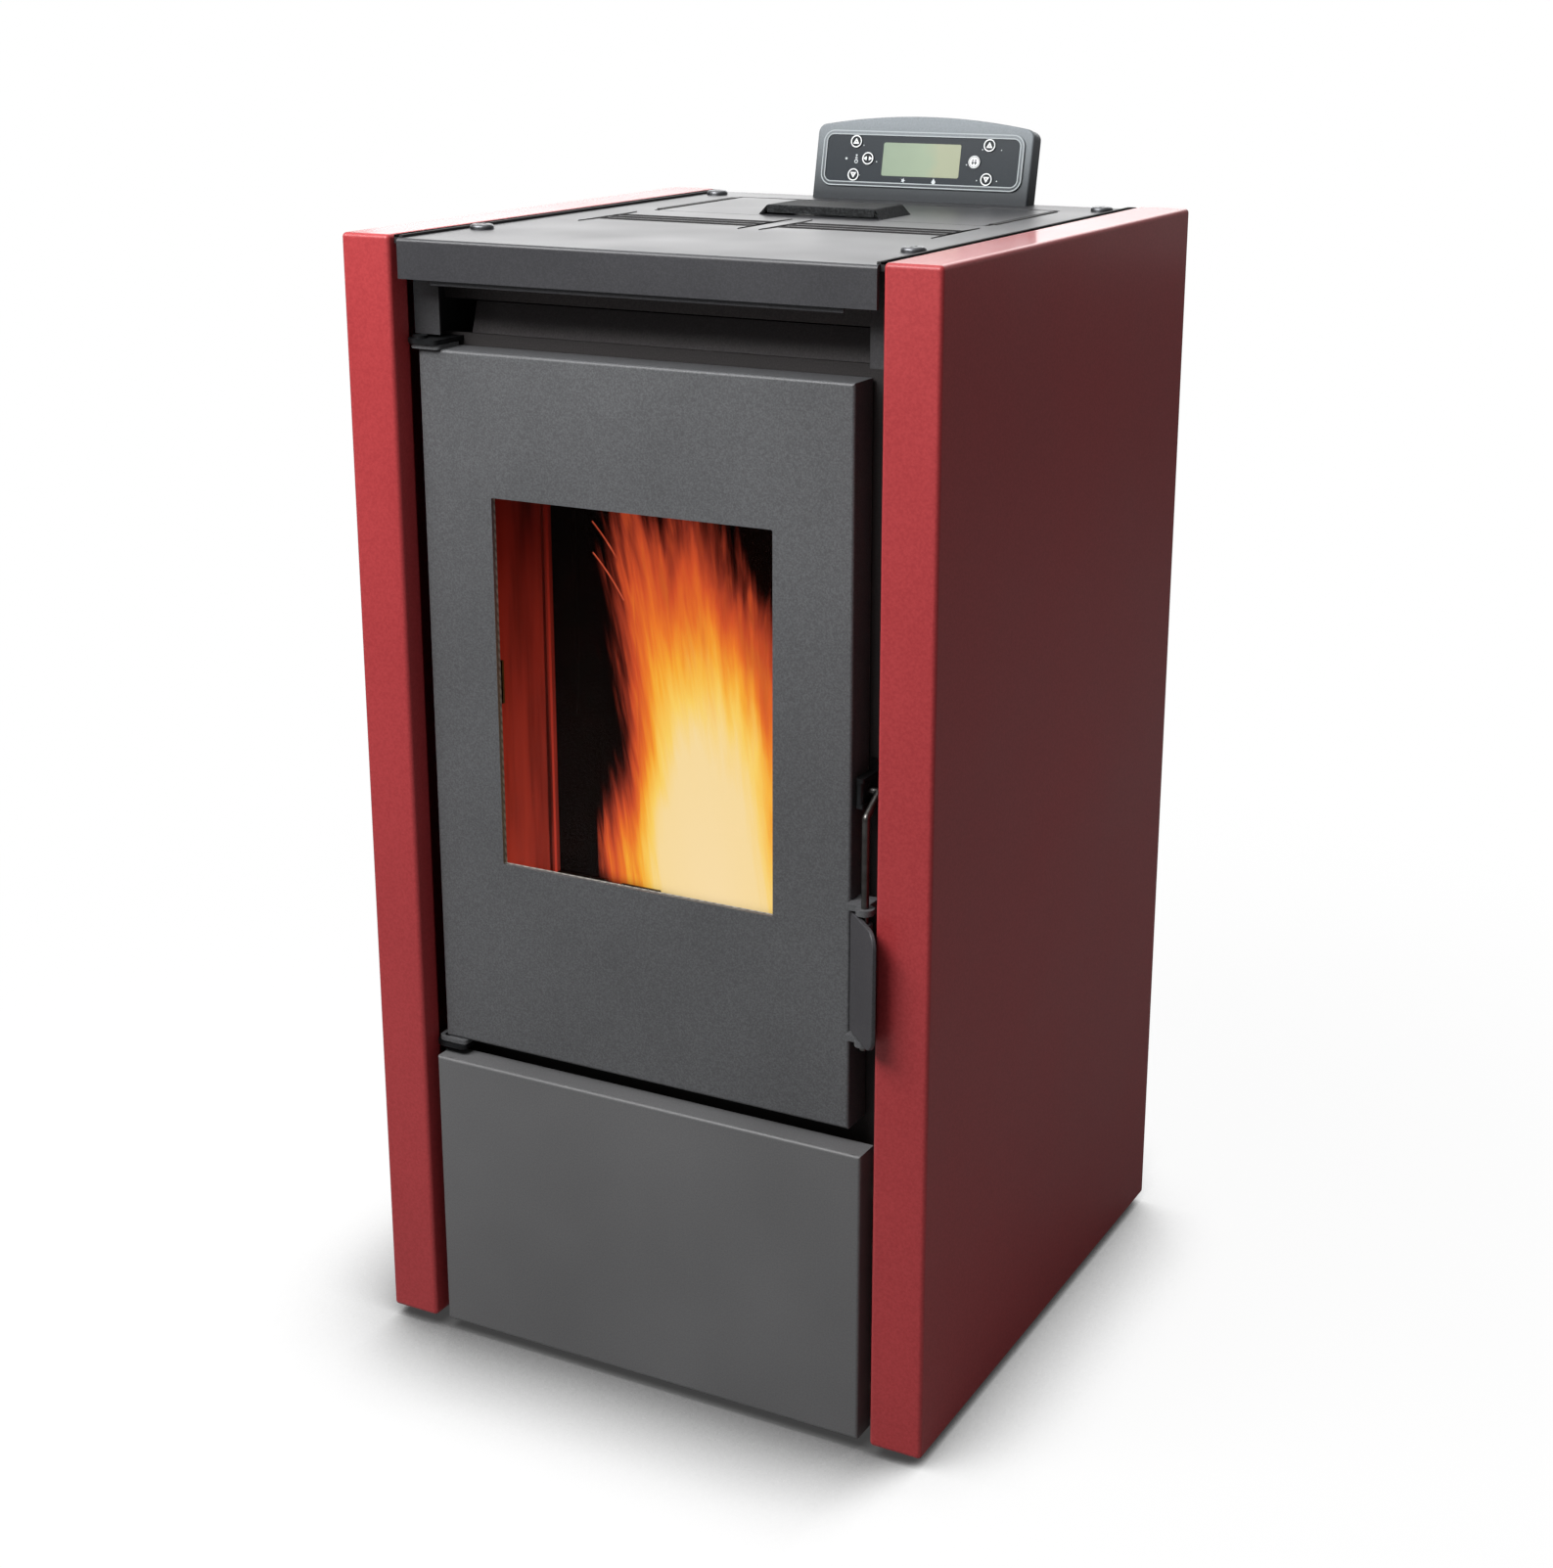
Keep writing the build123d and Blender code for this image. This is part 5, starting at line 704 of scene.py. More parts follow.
def layOnPanel(shape, place, right=0, up=0, turn=0):
    # from a flat drawing in mm to its place on the leaning panel
    flat = Matrix.Translation((right * mm, up * mm, 0)) @ Matrix.Rotation(turn, 4, "Z") @ Matrix.Scale(mm, 4)
    bmesh.ops.transform(shape, matrix=Matrix.Translation(place) @ panelTurn.to_4x4() @ flat,
                        verts=shape.verts[:])


def mergeInto(target, shape):
    # the shape is added to the target and freed
    spare = bpy.data.meshes.new("spare")
    shape.to_mesh(spare)
    shape.free()
    target.from_mesh(spare)
    bpy.data.meshes.remove(spare)


def printOn(sign, shape, place, right=0, up=0, turn=0):
    # a flat drawing is laid on the panel and becomes part of a sign
    layOnPanel(shape, place, right, up, turn)
    mergeInto(sign, shape)


def ringSign(outer, inner):
    shape = bmesh.new()
    for radius in (outer, inner):
        bmesh.ops.create_circle(shape, segments=40, radius=radius)
    bmesh.ops.bridge_loops(shape, edges=shape.edges[:])
    flatShape(shape, panel["signHeight"])
    return shape


def discSign(radius, segments=24):
    shape = bmesh.new()
    bmesh.ops.create_circle(shape, cap_ends=True, segments=segments, radius=radius)
    flatShape(shape, panel["signHeight"])
    return shape


def arrowSign(radius, cornerSize):
    # a triangle with rounded corners, pointing up
    shape = bmesh.new()
    bmesh.ops.create_circle(shape, cap_ends=True, segments=3, radius=radius)
    bmesh.ops.bevel(shape, geom=shape.verts[:], affect="VERTICES", offset=cornerSize, segments=4,
                    profile=0.5, material=-1)
    flatShape(shape, panel["signHeight"])
    return shape


def printInk(name, colour):
    # Screen-printed ink: opaque and even, with a faint mesh texture left by the screen.
    material, tree, surface, place = startMaterial(name, {"Roughness": 0.45, "IOR": 1.48})
    screen = addNode(tree, "ShaderNodeTexNoise", {"Scale": perMetre(0.5), "Detail": 1.0}, {"Vector": place})
    tone = addNode(tree, "ShaderNodeMix", {
        "data_type": "RGBA", "blend_type": "MULTIPLY", 0: 0.12, 6: linearColour(colour),
    }, {7: screen.outputs["Color"]})
    tree.links.new(tone.outputs[2], surface.inputs["Base Color"])
    return material


whiteInk = printInk("whiteInk", panel["white"])
greyInk = printInk("greyInk", panel["grey"])
darkInk = printInk("darkInk", panel["dark"])

# which way each key's arrows point, as a turn from upright
keySigns = {
    "key_left_up": [0], "key_left_down": [math.pi],
    "key_right_up": [0], "key_right_down": [math.pi],
    "key_mode": [math.pi / 2, -math.pi / 2],
}
for key, turns in keySigns.items():
    place = keyFace(key)
    sign = bmesh.new()
    printOn(sign, ringSign(panel["ringOuter"], panel["ringInner"]), place)
    paired = len(turns) == 2
    shift = panel["arrowShift"] if turns[0] else -panel["arrowShift"]
    for turn in turns:
        if paired:
            side = math.copysign(panel["pairedShift"], -turn)
            printOn(sign, arrowSign(*panel["pairedArrow"]), place, right=side, turn=turn)
        else:
            printOn(sign, arrowSign(*panel["arrow"]), place, up=shift, turn=turn)
    finishPiece(key + "_sign", sign, whiteInk, key)
    if not paired:
        dot = discSign(panel["dotRadius"])
        layOnPanel(dot, place + overPrint, up=shift)
        finishPiece(key + "_dot", dot, darkInk, key)

# the power key: a pale disc with two dark arrows that point down
powerSign = {
    "ringInner": 4.1, "disc": 3.7, "apart": 1.15,
    "head": (1.5, 0.25), "headUp": -0.9, "stem": (0.9, 2.4), "stemUp": 0.9,
}
place = keyFace("key_power")
disc = bmesh.new()
for part in (ringSign(panel["ringOuter"], powerSign["ringInner"]), discSign(powerSign["disc"], 40)):
    printOn(disc, part, place)
finishPiece("key_power_sign", disc, whiteInk, "key_power")
strokes = bmesh.new()
for right in (-powerSign["apart"], powerSign["apart"]):
    printOn(strokes, arrowSign(*powerSign["head"]), place + overPrint, right=right,
            up=powerSign["headUp"], turn=math.pi)
    stem = bmesh.new()
    bmesh.ops.create_grid(stem, x_segments=1, y_segments=1, size=0.5)
    bmesh.ops.scale(stem, vec=(*powerSign["stem"], 1), verts=stem.verts[:])
    flatShape(stem, panel["signHeight"])
    printOn(strokes, stem, place + overPrint, right=right, up=powerSign["stemUp"])
finishPiece("key_power_strokes", strokes, darkInk, "key_power")
print("key signs done")

# Small signs printed on the film: lamps beside the keys, a star and a flame under the screen.
# Their places are mm right of the screen's middle and above the middle row of keys.
screenLow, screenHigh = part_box("display_window")
filmPlace = keyFace("key_mode")
filmPlace.x = (screenLow.x + screenHigh.x) / 2
filmSigns = {
    "lamps": [(-48.7, 9.8), (-50.2, -12.6), (-36.8, -2.2), (49.4, 9.3), (64.6, 9.3),
              (47.0, -13.4), (63.2, -13.4), (37.6, -2.2)],
    "starPlace": (-13.2, -15.4), "starRadius": 1.9, "starWaist": 0.45,
    "flamePlace": (12.0, -15.6), "flameRadius": 1.9, "flameWidth": 0.85, "flameTaper": 0.75, "flameTip": 0.25,
    "gaugePlace": (-54.0, 0.0), "gaugeRings": [(1.5, 0.9, -2.4), (0.9, 0.45, 0.2)], "gaugeDot": (0.7, 2.2),
    "sunPlace": (-62.5, -0.5), "sunRadius": 0.9,
    "belowKeys": 0.93,       # how far the film lies below the faces of the keys
}
filmFace = filmPlace + panelTurn @ Vector((0, 0, -filmSigns["belowKeys"] * mm))
signs = bmesh.new()
for right, up in filmSigns["lamps"]:
    printOn(signs, discSign(panel["lampRadius"], 16), filmFace, right=right, up=up)
star = bmesh.new()
bmesh.ops.create_circle(star, cap_ends=True, segments=10, radius=filmSigns["starRadius"])
for index, vert in enumerate(sorted(star.verts, key=lambda v: math.atan2(v.co.y, v.co.x))):
    if index % 2:
        vert.co *= filmSigns["starWaist"]
flatShape(star, panel["signHeight"])
printOn(signs, star, filmFace, *filmSigns["starPlace"], turn=math.pi / 10)
drop = bmesh.new()
bmesh.ops.create_circle(drop, cap_ends=True, segments=20, radius=filmSigns["flameRadius"])
for vert in drop.verts:
    reach = max(0, vert.co.y) / filmSigns["flameRadius"]
    vert.co.x *= filmSigns["flameWidth"] * (1 - filmSigns["flameTaper"] * reach)
    vert.co.y *= 1.0 + filmSigns["flameTip"] * reach
flatShape(drop, panel["signHeight"])
printOn(signs, drop, filmFace, *filmSigns["flamePlace"])
gaugeRight, gaugeUp = filmSigns["gaugePlace"]
gauge = [(ringSign(outer, inner), up) for outer, inner, up in filmSigns["gaugeRings"]]
gauge.append((discSign(filmSigns["gaugeDot"][0]), filmSigns["gaugeDot"][1]))
for part, up in gauge:
    printOn(signs, part, filmFace, right=gaugeRight, up=gaugeUp + up)
printOn(signs, discSign(filmSigns["sunRadius"], 12), filmFace, *filmSigns["sunPlace"])
finishPiece("panel_signs", signs, greyInk, "stove_body")


def roundedRing(width, height, corner, line, thick):
    # a rounded rectangle drawn as a line, in mm
    shape = bmesh.new()
    bmesh.ops.create_grid(shape, x_segments=1, y_segments=1, size=0.5)
    bmesh.ops.scale(shape, vec=(width, height, 1), verts=shape.verts[:])
    bmesh.ops.bevel(shape, geom=shape.verts[:], affect="VERTICES", offset=corner, segments=8,
                    profile=0.5, material=-1)
    middle = shape.faces[:]
    bmesh.ops.inset_region(shape, faces=middle, thickness=line, use_boundary=True,
                           use_even_offset=True)
    bmesh.ops.delete(shape, geom=middle, context="FACES_ONLY")
    flatShape(shape, thick)
    return shape


# painted highlights: light lines on the edges of the raised band round the film, for the light those edges
# catch
trim = {
    "outer": (165.6, 41.6, 9), "inner": (160.4, 36.4, 6),      # width, height and corner, mm
    "line": 0.8, "belowKeys": 0.36, "colour": "#a3abae",
}
edges = bmesh.new()
for width, height, corner in (trim["outer"], trim["inner"]):
    ring = roundedRing(width, height, corner, trim["line"], panel["signHeight"])
    printOn(edges, ring, filmPlace + panelTurn @ Vector((0, 0, -trim["belowKeys"] * mm)))
finishPiece("panel_trim", edges, printInk("bandEdgeHighlight", trim["colour"]), "stove_body")
print("panel signs done")


# Handle on the lid.

# a pressed strip on sloping legs, with a short nose along its front, mm
lidHandle = {"length": 98, "depth": 46, "height": 7, "sheet": 2, "nose": 5.5, "bend": 1.0, "forward": 2}


def lidHandlePiece():
    low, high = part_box("lid_handle")
    front = low.y - lidHandle["forward"] * mm
    half, rise = lidHandle["length"] / 2 * mm, lidHandle["height"] * mm
    profile = [(-half, 0), (-half + rise, rise), (half - rise, rise), (half, 0)]
    shape = bmesh.new()
    rows = [[shape.verts.new((x, y, low.z + z)) for x, z in profile]
            for y in (front, front + lidHandle["depth"] * mm)]
    for column in range(len(profile) - 1):
        near, far = rows[0][column:column + 2], rows[1][column:column + 2]
        shape.faces.new((near[0], near[1], far[1], far[0]))
    lip = shape.edges.get((rows[0][1], rows[0][2]))
    nose = bmesh.ops.extrude_edge_only(shape, edges=[lip])
    hanging = [item for item in nose["geom"] if isinstance(item, bmesh.types.BMVert)]
    bmesh.ops.translate(shape, verts=hanging, vec=(0, 0, -lidHandle["nose"] * mm))
    bends = [edge for edge in shape.edges if len(edge.link_faces) == 2]
    bmesh.ops.bevel(shape, geom=bends, affect="EDGES", offset=lidHandle["bend"] * mm, segments=3,
                    profile=0.5, material=-1)
    bmesh.ops.recalc_face_normals(shape, faces=shape.faces[:])
    if shape.faces[0].normal.z < 0:
        bmesh.ops.reverse_faces(shape, faces=shape.faces[:])
    bmesh.ops.solidify(shape, geom=shape.faces[:], thickness=lidHandle["sheet"] * mm)
    bmesh.ops.recalc_face_normals(shape, faces=shape.faces[:])
    piece = finishPiece("lid_grip", shape, wrinkleMaterial, "hopper_lid")
    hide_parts("lid_handle")


lidHandlePiece()
print("lid handle done")


# Thin trim on the cabinet.

def addBlock(shape, low, high, edge=0.0):
    # a block between two corners in mm, its edges rounded
    block = bmesh.new()
    bmesh.ops.create_cube(block, size=1)
    size = [b - a for a, b in zip(low, high)]
    centre = [(a + b) / 2 for a, b in zip(low, high)]
    bmesh.ops.scale(block, vec=[length * mm for length in size], verts=block.verts[:])
    bmesh.ops.translate(block, vec=[value * mm for value in centre], verts=block.verts[:])
    if edge:
        bmesh.ops.bevel(block, geom=block.edges[:], affect="EDGES", offset=edge * mm, segments=2,
                        profile=0.5, material=-1)
    mergeInto(shape, block)


# Black strips in the gaps of the top, matt, as painted shade where the gaps lie dark.
gapShadeBlack = dict(blackNylon, colour="#1c1a1b", dark="#161415", roughness=0.7, grainSize=1.2)
gapShadeMaterial = mouldedPlastic("gapShadeBlack", gapShadeBlack)
coverLow, coverHigh = (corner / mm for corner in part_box("top_cover"))
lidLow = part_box("hopper_lid")[0] / mm
coverDrop = 2                # the cover's face lies this far below the top of the side panels
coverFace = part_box("right_side_panel")[1].z / mm - coverDrop
sit = 0.02                   # flat trim lies this far above the sheet under it
edging = {
    "gap": 5, "play": 0.3, "lap": 2.5, "proud": 1.7, "deep": 4, "short": 4, "edge": 0.2,
    "lidHalf": 128, "lidGap": 4, "lidPlay": 0.5, "lidLap": 2.5, "lidProud": 0.5,
    "lidFrom": 8, "lidTo": 120,
}
strips = bmesh.new()
for side in (-1, 1):
    # each strip has a stem in its gap and a flat head that laps the cover
    edge, flange = coverHigh.x + edging["play"], coverHigh.x + edging["gap"] - edging["play"]
    lid = edging["lidHalf"] + edging["lidPlay"]
    rim = edging["lidHalf"] + edging["lidGap"] - edging["lidPlay"]
    coverRun = (coverLow.y + edging["short"], coverHigh.y - edging["short"])
    lidRun = (lidLow.y + edging["lidFrom"], lidLow.y + edging["lidTo"])
    for near, far, low, high, (front, rear) in (
        (edge, flange, -edging["deep"], edging["proud"], coverRun),
        (edge - edging["lap"], flange, sit, edging["proud"], coverRun),
        (lid, rim, -edging["deep"], edging["lidProud"], lidRun),
        (lid, rim + edging["lidLap"], sit, edging["lidProud"], lidRun),
    ):
        left, right = sorted((side * near, side * far))
        addBlock(strips, (left, front, coverFace + low), (right, rear, coverFace + high), edging["edge"])
finishPiece("cover_edging", strips, gapShadeMaterial, "stove_body")

# a black liner in each louvre slot, as painted shade: a flat rim on the cover, and a skirt down through the
# slot
louvre = {"beforeLid": 73, "pitch": 14, "rows": 3, "centre": 71, "length": 122, "width": 4,
          "rim": 0.8, "rimThick": 0.5, "rimCorner": 3.6, "wall": 0.4, "skirt": 3.4, "skirtCorner": 1.6,
          "play": 0.2}
liners = bmesh.new()
for side in (-1, 1):
    for row in range(louvre["rows"]):
        long, wide = louvre["length"], louvre["width"]
        rim = roundedRing(long + 2 * louvre["rim"], wide + 2 * louvre["rim"], louvre["rimCorner"],
                          louvre["rim"] + louvre["wall"], louvre["rimThick"])
        skirt = roundedRing(long - 2 * louvre["play"], wide - 2 * louvre["play"], louvre["skirtCorner"],
                            louvre["wall"], louvre["skirt"])
        back = lidLow.y - louvre["beforeLid"] + row * louvre["pitch"]
        spot = Vector((side * louvre["centre"], back, coverFace))
        for part, lift in ((rim, sit), (skirt, louvre["rimThick"] - louvre["skirt"])):
            bmesh.ops.transform(part, verts=part.verts[:], matrix=(
                Matrix.Translation((spot + Vector((0, 0, lift))) * mm) @ Matrix.Scale(mm, 4)))
            mergeInto(liners, part)
finishPiece("louvre_liners", liners, gapShadeMaterial, "stove_body")

# the hem of the cover's lip, folded back behind it
hem = {"inset": 23, "setback": 3.02, "sheet": 1.5, "drop": 3.5, "lap": 8, "edge": 0.5}
hemFront = coverLow.y + hem["setback"]
folded = bmesh.new()
addBlock(folded, (coverLow.x + hem["inset"], hemFront, coverLow.z - hem["drop"]),
         (coverHigh.x - hem["inset"], hemFront + hem["sheet"], coverLow.z + hem["lap"]), hem["edge"])
finishPiece("cover_hem", folded, coverMaterial, "stove_body")

# an air guide in the outlet: a sheet behind the front plate that leans back up to the deflector, in paint
# lightened as painted light
airGuide = {"half": 149.5, "face": -181.6, "low": 712.5, "high": 746.4, "lean": 11.2,
            "sheet": 1.0, "edge": 0.3}
guide = bmesh.new()
addBlock(guide, (-airGuide["half"], airGuide["face"], airGuide["low"]),
         (airGuide["half"], airGuide["face"] + airGuide["sheet"], airGuide["high"]), airGuide["edge"])
for corner in guide.verts:
    up = (corner.co.z / mm - airGuide["low"]) / (airGuide["high"] - airGuide["low"])
    corner.co.y += airGuide["lean"] * mm * up
finishPiece("air_guide", guide, guideMaterial, "stove_body")
print("thin trim done")


# Fire.

potLow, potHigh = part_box("burn_pot")
fireCentre = Vector(((potLow.x + potHigh.x) / 2, (potLow.y + potHigh.y) / 2, potHigh.z))

# Curved sheets of burning gas that stand behind each other over the rear half of the pot.
# All share one field of heat, drawn on their UV map: U runs left to right and V upward.
flame = {
    "left": -173.0, "right": 38.5,        # where U is 0 and 1, mm
    "low": 335.0, "high": 589.0,          # where V is 0 and 1, mm
    "root": 0.80, "lean": 0.16,           # U of its middle at the bottom, and how far that leans left
    "sideHeat": 2.0, "baseHeat": 0.06, "riseHeat": 0.55, "riseMore": 0.25,
    "waist": 0.85,                        # it is cut in on the left at mid-height
    "rootShare": -0.45, "waistFrom": 0.0, "waistTo": 0.45,
    "headShare": 0.25, "headFrom": 0.55, "headTo": 1.0,
    "shoulder": 1.8,                      # and dies down early on the right, near the top
    "shoulderFrom": 0.6, "shoulderTo": 1.0,
    "fan": 0.45,                          # how far the streaks spread with height
    "streakScale": (38, 3.6, 1), "tongueScale": (9, 1.9, 1), "ragged": 0.27,
    "clearFrom": 0.72, "clearTo": 1.0,    # the ages between which the gas burns out
    "footFrom": -0.085, "footTo": -0.02, "headFade": 0.28, "headClear": 0.02,
    "power": 1.05,
    "cells": 64, "inPot": 2, "sway": 5, "swayAcross": 1.3, "swayUp": 2.2, "forward": 6,    # of the sheets
}
flameSheets = {
    "flameFront": {"depth": -118, "bulge": 16, "halfWidth": 66, "top": 620, "thick": 0.5,
                   "dimming": 0.02, "seed": 3.0},
    "flameBody": {"depth": -106, "bulge": 14, "halfWidth": 104, "top": 664, "thick": 0.9,
                  "dimming": 0.0, "seed": 11.0},
    "flameRear": {"depth": -96, "bulge": 8, "halfWidth": 112, "top": 672, "thick": 0.8,
                  "dimming": -0.02, "seed": 23.0},
}
flameColours = [(0.0, "#fbe3b4"), (0.35, "#fae0a8"), (0.44, "#fdd66a"), (0.53, "#fab13a"),
                (0.62, "#ee7c2e"), (0.73, "#d1532d"), (0.84, "#973626"), (1.0, "#3a0c0b")]


def burningGas(name, sheet):
    # Glowing gas: no surface of its own, only light. It is pale in the middle, reddens
    # upward and outward, and tears into fine streaks that fan out as they rise.
    material, tree, surface, _ = startMaterial(name, {
        "Base Color": linearColour("#000000"), "Roughness": 1.0, "Specular IOR Level": 0.0,
        "Emission Strength": flame["power"],
    })

    onSheet = addNode(tree, "ShaderNodeUVMap", {"uv_map": "UVMap"})
    parts = addNode(tree, "ShaderNodeSeparateXYZ", links={"Vector": onSheet.outputs["UV"]})
    across, up = parts.outputs["X"], parts.outputs["Y"]
    # how far a point lies from the flame's leaning middle, and the same with the fan of streaks closed
    middle = addNode(tree, "ShaderNodeMath",
                     {"operation": "MULTIPLY_ADD", 1: -flame["lean"], 2: flame["root"]}, {0: up})
    offset = addNode(tree, "ShaderNodeMath", {"operation": "SUBTRACT"}, {0: across, 1: middle.outputs[0]})
    square = addNode(tree, "ShaderNodeMath", {"operation": "MULTIPLY"}, {0: up, 1: up})
    spread = addNode(tree, "ShaderNodeMath", {"operation": "MULTIPLY_ADD", 1: flame["fan"], 2: 1.0},
                     {0: square.outputs[0]})
    fanned = addNode(tree, "ShaderNodeMath", {"operation": "DIVIDE"},
                     {0: offset.outputs[0], 1: spread.outputs[0]})

    # long thin streaks, and broad tongues among them
    flow = addNode(tree, "ShaderNodeCombineXYZ", {2: sheet["seed"]}, {0: fanned.outputs[0], 1: up})
    fibres = addNode(tree, "ShaderNodeMapping", {"Scale": flame["streakScale"]}, {"Vector": flow.outputs[0]})
    streaks = addNode(tree, "ShaderNodeTexNoise",
                      {"Scale": 1.0, "Detail": 4.0, "Roughness": 0.55, "Distortion": 0.25},
                      {"Vector": fibres.outputs["Vector"]})
    tongueFlow = addNode(tree, "ShaderNodeMapping", {"Scale": flame["tongueScale"]},
                         {"Vector": flow.outputs[0]})
    tongues = addNode(tree, "ShaderNodeTexNoise", {"Scale": 1.0, "Detail": 2.0, "Distortion": 0.4},
                      {"Vector": tongueFlow.outputs["Vector"]})

    # the gas cools with the distance from the middle, more so at the waist on the left
    left = addNode(tree, "ShaderNodeMath", {"operation": "MULTIPLY", 1: -flame["waist"]},
                   {0: offset.outputs[0]})
    leftOnly = addNode(tree, "ShaderNodeMath", {"operation": "MAXIMUM", 1: 0.0}, {0: left.outputs[0]})
    narrows = addNode(tree, "ShaderNodeMapRange", {
        "interpolation_type": "SMOOTHSTEP", 1: flame["waistFrom"], 2: flame["waistTo"],
        3: flame["rootShare"], 4: 1.0,
    }, {0: up})
    widens = addNode(tree, "ShaderNodeMapRange", {
        "interpolation_type": "SMOOTHSTEP", 1: flame["headFrom"], 2: flame["headTo"],
        3: 1.0, 4: flame["headShare"],
    }, {0: up})
    waist = addNode(tree, "ShaderNodeMath", {"operation": "MULTIPLY"},
                    {0: narrows.outputs[0], 1: widens.outputs[0]})
    away = addNode(tree, "ShaderNodeMath", {"operation": "ABSOLUTE"}, {0: offset.outputs[0]})
    even = addNode(tree, "ShaderNodeMath", {"operation": "MULTIPLY", 1: flame["sideHeat"]},
                   {0: away.outputs[0]})
    cutIn = addNode(tree, "ShaderNodeMath", {"operation": "MULTIPLY_ADD"},
                    {0: leftOnly.outputs[0], 1: waist.outputs[0], 2: even.outputs[0]})
    right = addNode(tree, "ShaderNodeMath", {"operation": "MAXIMUM", 1: 0.0}, {0: offset.outputs[0]})
    shoulder = addNode(tree, "ShaderNodeMapRange", {
        "interpolation_type": "SMOOTHSTEP", 1: flame["shoulderFrom"], 2: flame["shoulderTo"],
        3: 0.0, 4: flame["shoulder"],
    }, {0: up})
    side = addNode(tree, "ShaderNodeMath", {"operation": "MULTIPLY_ADD"},
                   {0: right.outputs[0], 1: shoulder.outputs[0], 2: cutIn.outputs[0]})

    # and with height: both together make a rounded shape
    slope = addNode(tree, "ShaderNodeMath",
                    {"operation": "MULTIPLY_ADD", 1: flame["riseMore"], 2: flame["riseHeat"]}, {0: up})
    climb = addNode(tree, "ShaderNodeMath", {"operation": "MULTIPLY_ADD", 2: flame["baseHeat"]},
                    {0: up, 1: slope.outputs[0]})
    rise = addNode(tree, "ShaderNodeMath", {"operation": "MAXIMUM", 1: 0.0}, {0: climb.outputs[0]})
    sideCube = addNode(tree, "ShaderNodeMath", {"operation": "POWER", 1: 3.0}, {0: side.outputs[0]})
    riseCube = addNode(tree, "ShaderNodeMath", {"operation": "POWER", 1: 3.0}, {0: rise.outputs[0]})
    cubes = addNode(tree, "ShaderNodeMath", {"operation": "ADD"},
                    {0: sideCube.outputs[0], 1: riseCube.outputs[0]})
    smooth = addNode(tree, "ShaderNodeMath", {"operation": "POWER", 1: 1 / 3}, {0: cubes.outputs[0]})

    # streaks and tongues count for more where the gas is cool, so the core stays even
    noises = addNode(tree, "ShaderNodeMath", {"operation": "ADD"},
                     {0: streaks.outputs["Fac"], 1: tongues.outputs["Fac"]})
    ragged = addNode(tree, "ShaderNodeMapRange", {
        1: 0.5, 2: 1.5, 3: -flame["ragged"], 4: flame["ragged"], "clamp": False,
    }, {0: noises.outputs[0]})
    torn = addNode(tree, "ShaderNodeMath", {"operation": "MULTIPLY_ADD"},
                   {0: ragged.outputs[0], 1: smooth.outputs[0], 2: smooth.outputs[0]})
    age = addNode(tree, "ShaderNodeMath", {"operation": "ADD", 1: sheet["dimming"]}, {0: torn.outputs[0]})
    tone = addNode(tree, "ShaderNodeValToRGB", {"stops": flameColours}, {"Fac": age.outputs[0]})
    tree.links.new(tone.outputs["Color"], surface.inputs["Emission Color"])

    # clear where it has burnt out, and faded at the foot and head of its sheet
    cover = addNode(tree, "ShaderNodeMapRange", {
        "interpolation_type": "SMOOTHSTEP", 1: flame["clearFrom"], 2: flame["clearTo"],
        3: sheet["thick"], 4: 0.0,
    }, {0: age.outputs[0]})
    foot = addNode(tree, "ShaderNodeMapRange", {
        "interpolation_type": "SMOOTHSTEP", 1: flame["footFrom"], 2: flame["footTo"],
    }, {0: up})
    top = (sheet["top"] - flame["low"]) / (flame["high"] - flame["low"])
    head = addNode(tree, "ShaderNodeMapRange", {
        "interpolation_type": "SMOOTHSTEP", 1: top - flame["headFade"], 2: top - flame["headClear"],
        3: 1.0, 4: 0.0,
    }, {0: up})
    ends = addNode(tree, "ShaderNodeMath", {"operation": "MULTIPLY"},
                   {0: foot.outputs[0], 1: head.outputs[0]})
    shown = addNode(tree, "ShaderNodeMath", {"operation": "MULTIPLY"},
                    {0: cover.outputs[0], 1: ends.outputs[0]})
    tree.links.new(shown.outputs[0], surface.inputs["Alpha"])
    return material


def flameSheet(name, sheet):
    # a grid bent forward in the middle, its edges swaying a little with height
    shape = bmesh.new()
    uvMap = shape.loops.layers.uv.new("UVMap")
    bmesh.ops.create_grid(shape, x_segments=flame["cells"], y_segments=flame["cells"], size=0.5,
                          calc_uvs=True)
    middle = flame["left"] + flame["root"] * (flame["right"] - flame["left"])
    foot = potHigh.z / mm - flame["inPot"]
    for vert in shape.verts:
        across, up = 2 * vert.co.x, vert.co.y + 0.5
        x = middle + sheet["halfWidth"] * across
        z = foot + (sheet["top"] - foot) * up
        drift = Vector((across * flame["swayAcross"], up * flame["swayUp"], sheet["seed"]))
        sway = flame["sway"] * noise.noise(drift)
        y = sheet["depth"] + sheet["bulge"] * across * across + sway * up - flame["forward"] * up
        vert.co = Vector((x, y, z)) * mm
    for face in shape.faces:
        for loop in face.loops:
            x, z = loop.vert.co.x / mm, loop.vert.co.z / mm
            loop[uvMap].uv = ((x - flame["left"]) / (flame["right"] - flame["left"]),
                              (z - flame["low"]) / (flame["high"] - flame["low"]))
    bmesh.ops.reverse_faces(shape, faces=[face for face in shape.faces if face.normal.y > 0])
    finishPiece(name, shape, burningGas(name + "Gas", sheet), "stove_body", smooth=True)


for name, sheet in flameSheets.items():
    flameSheet(name, sheet)

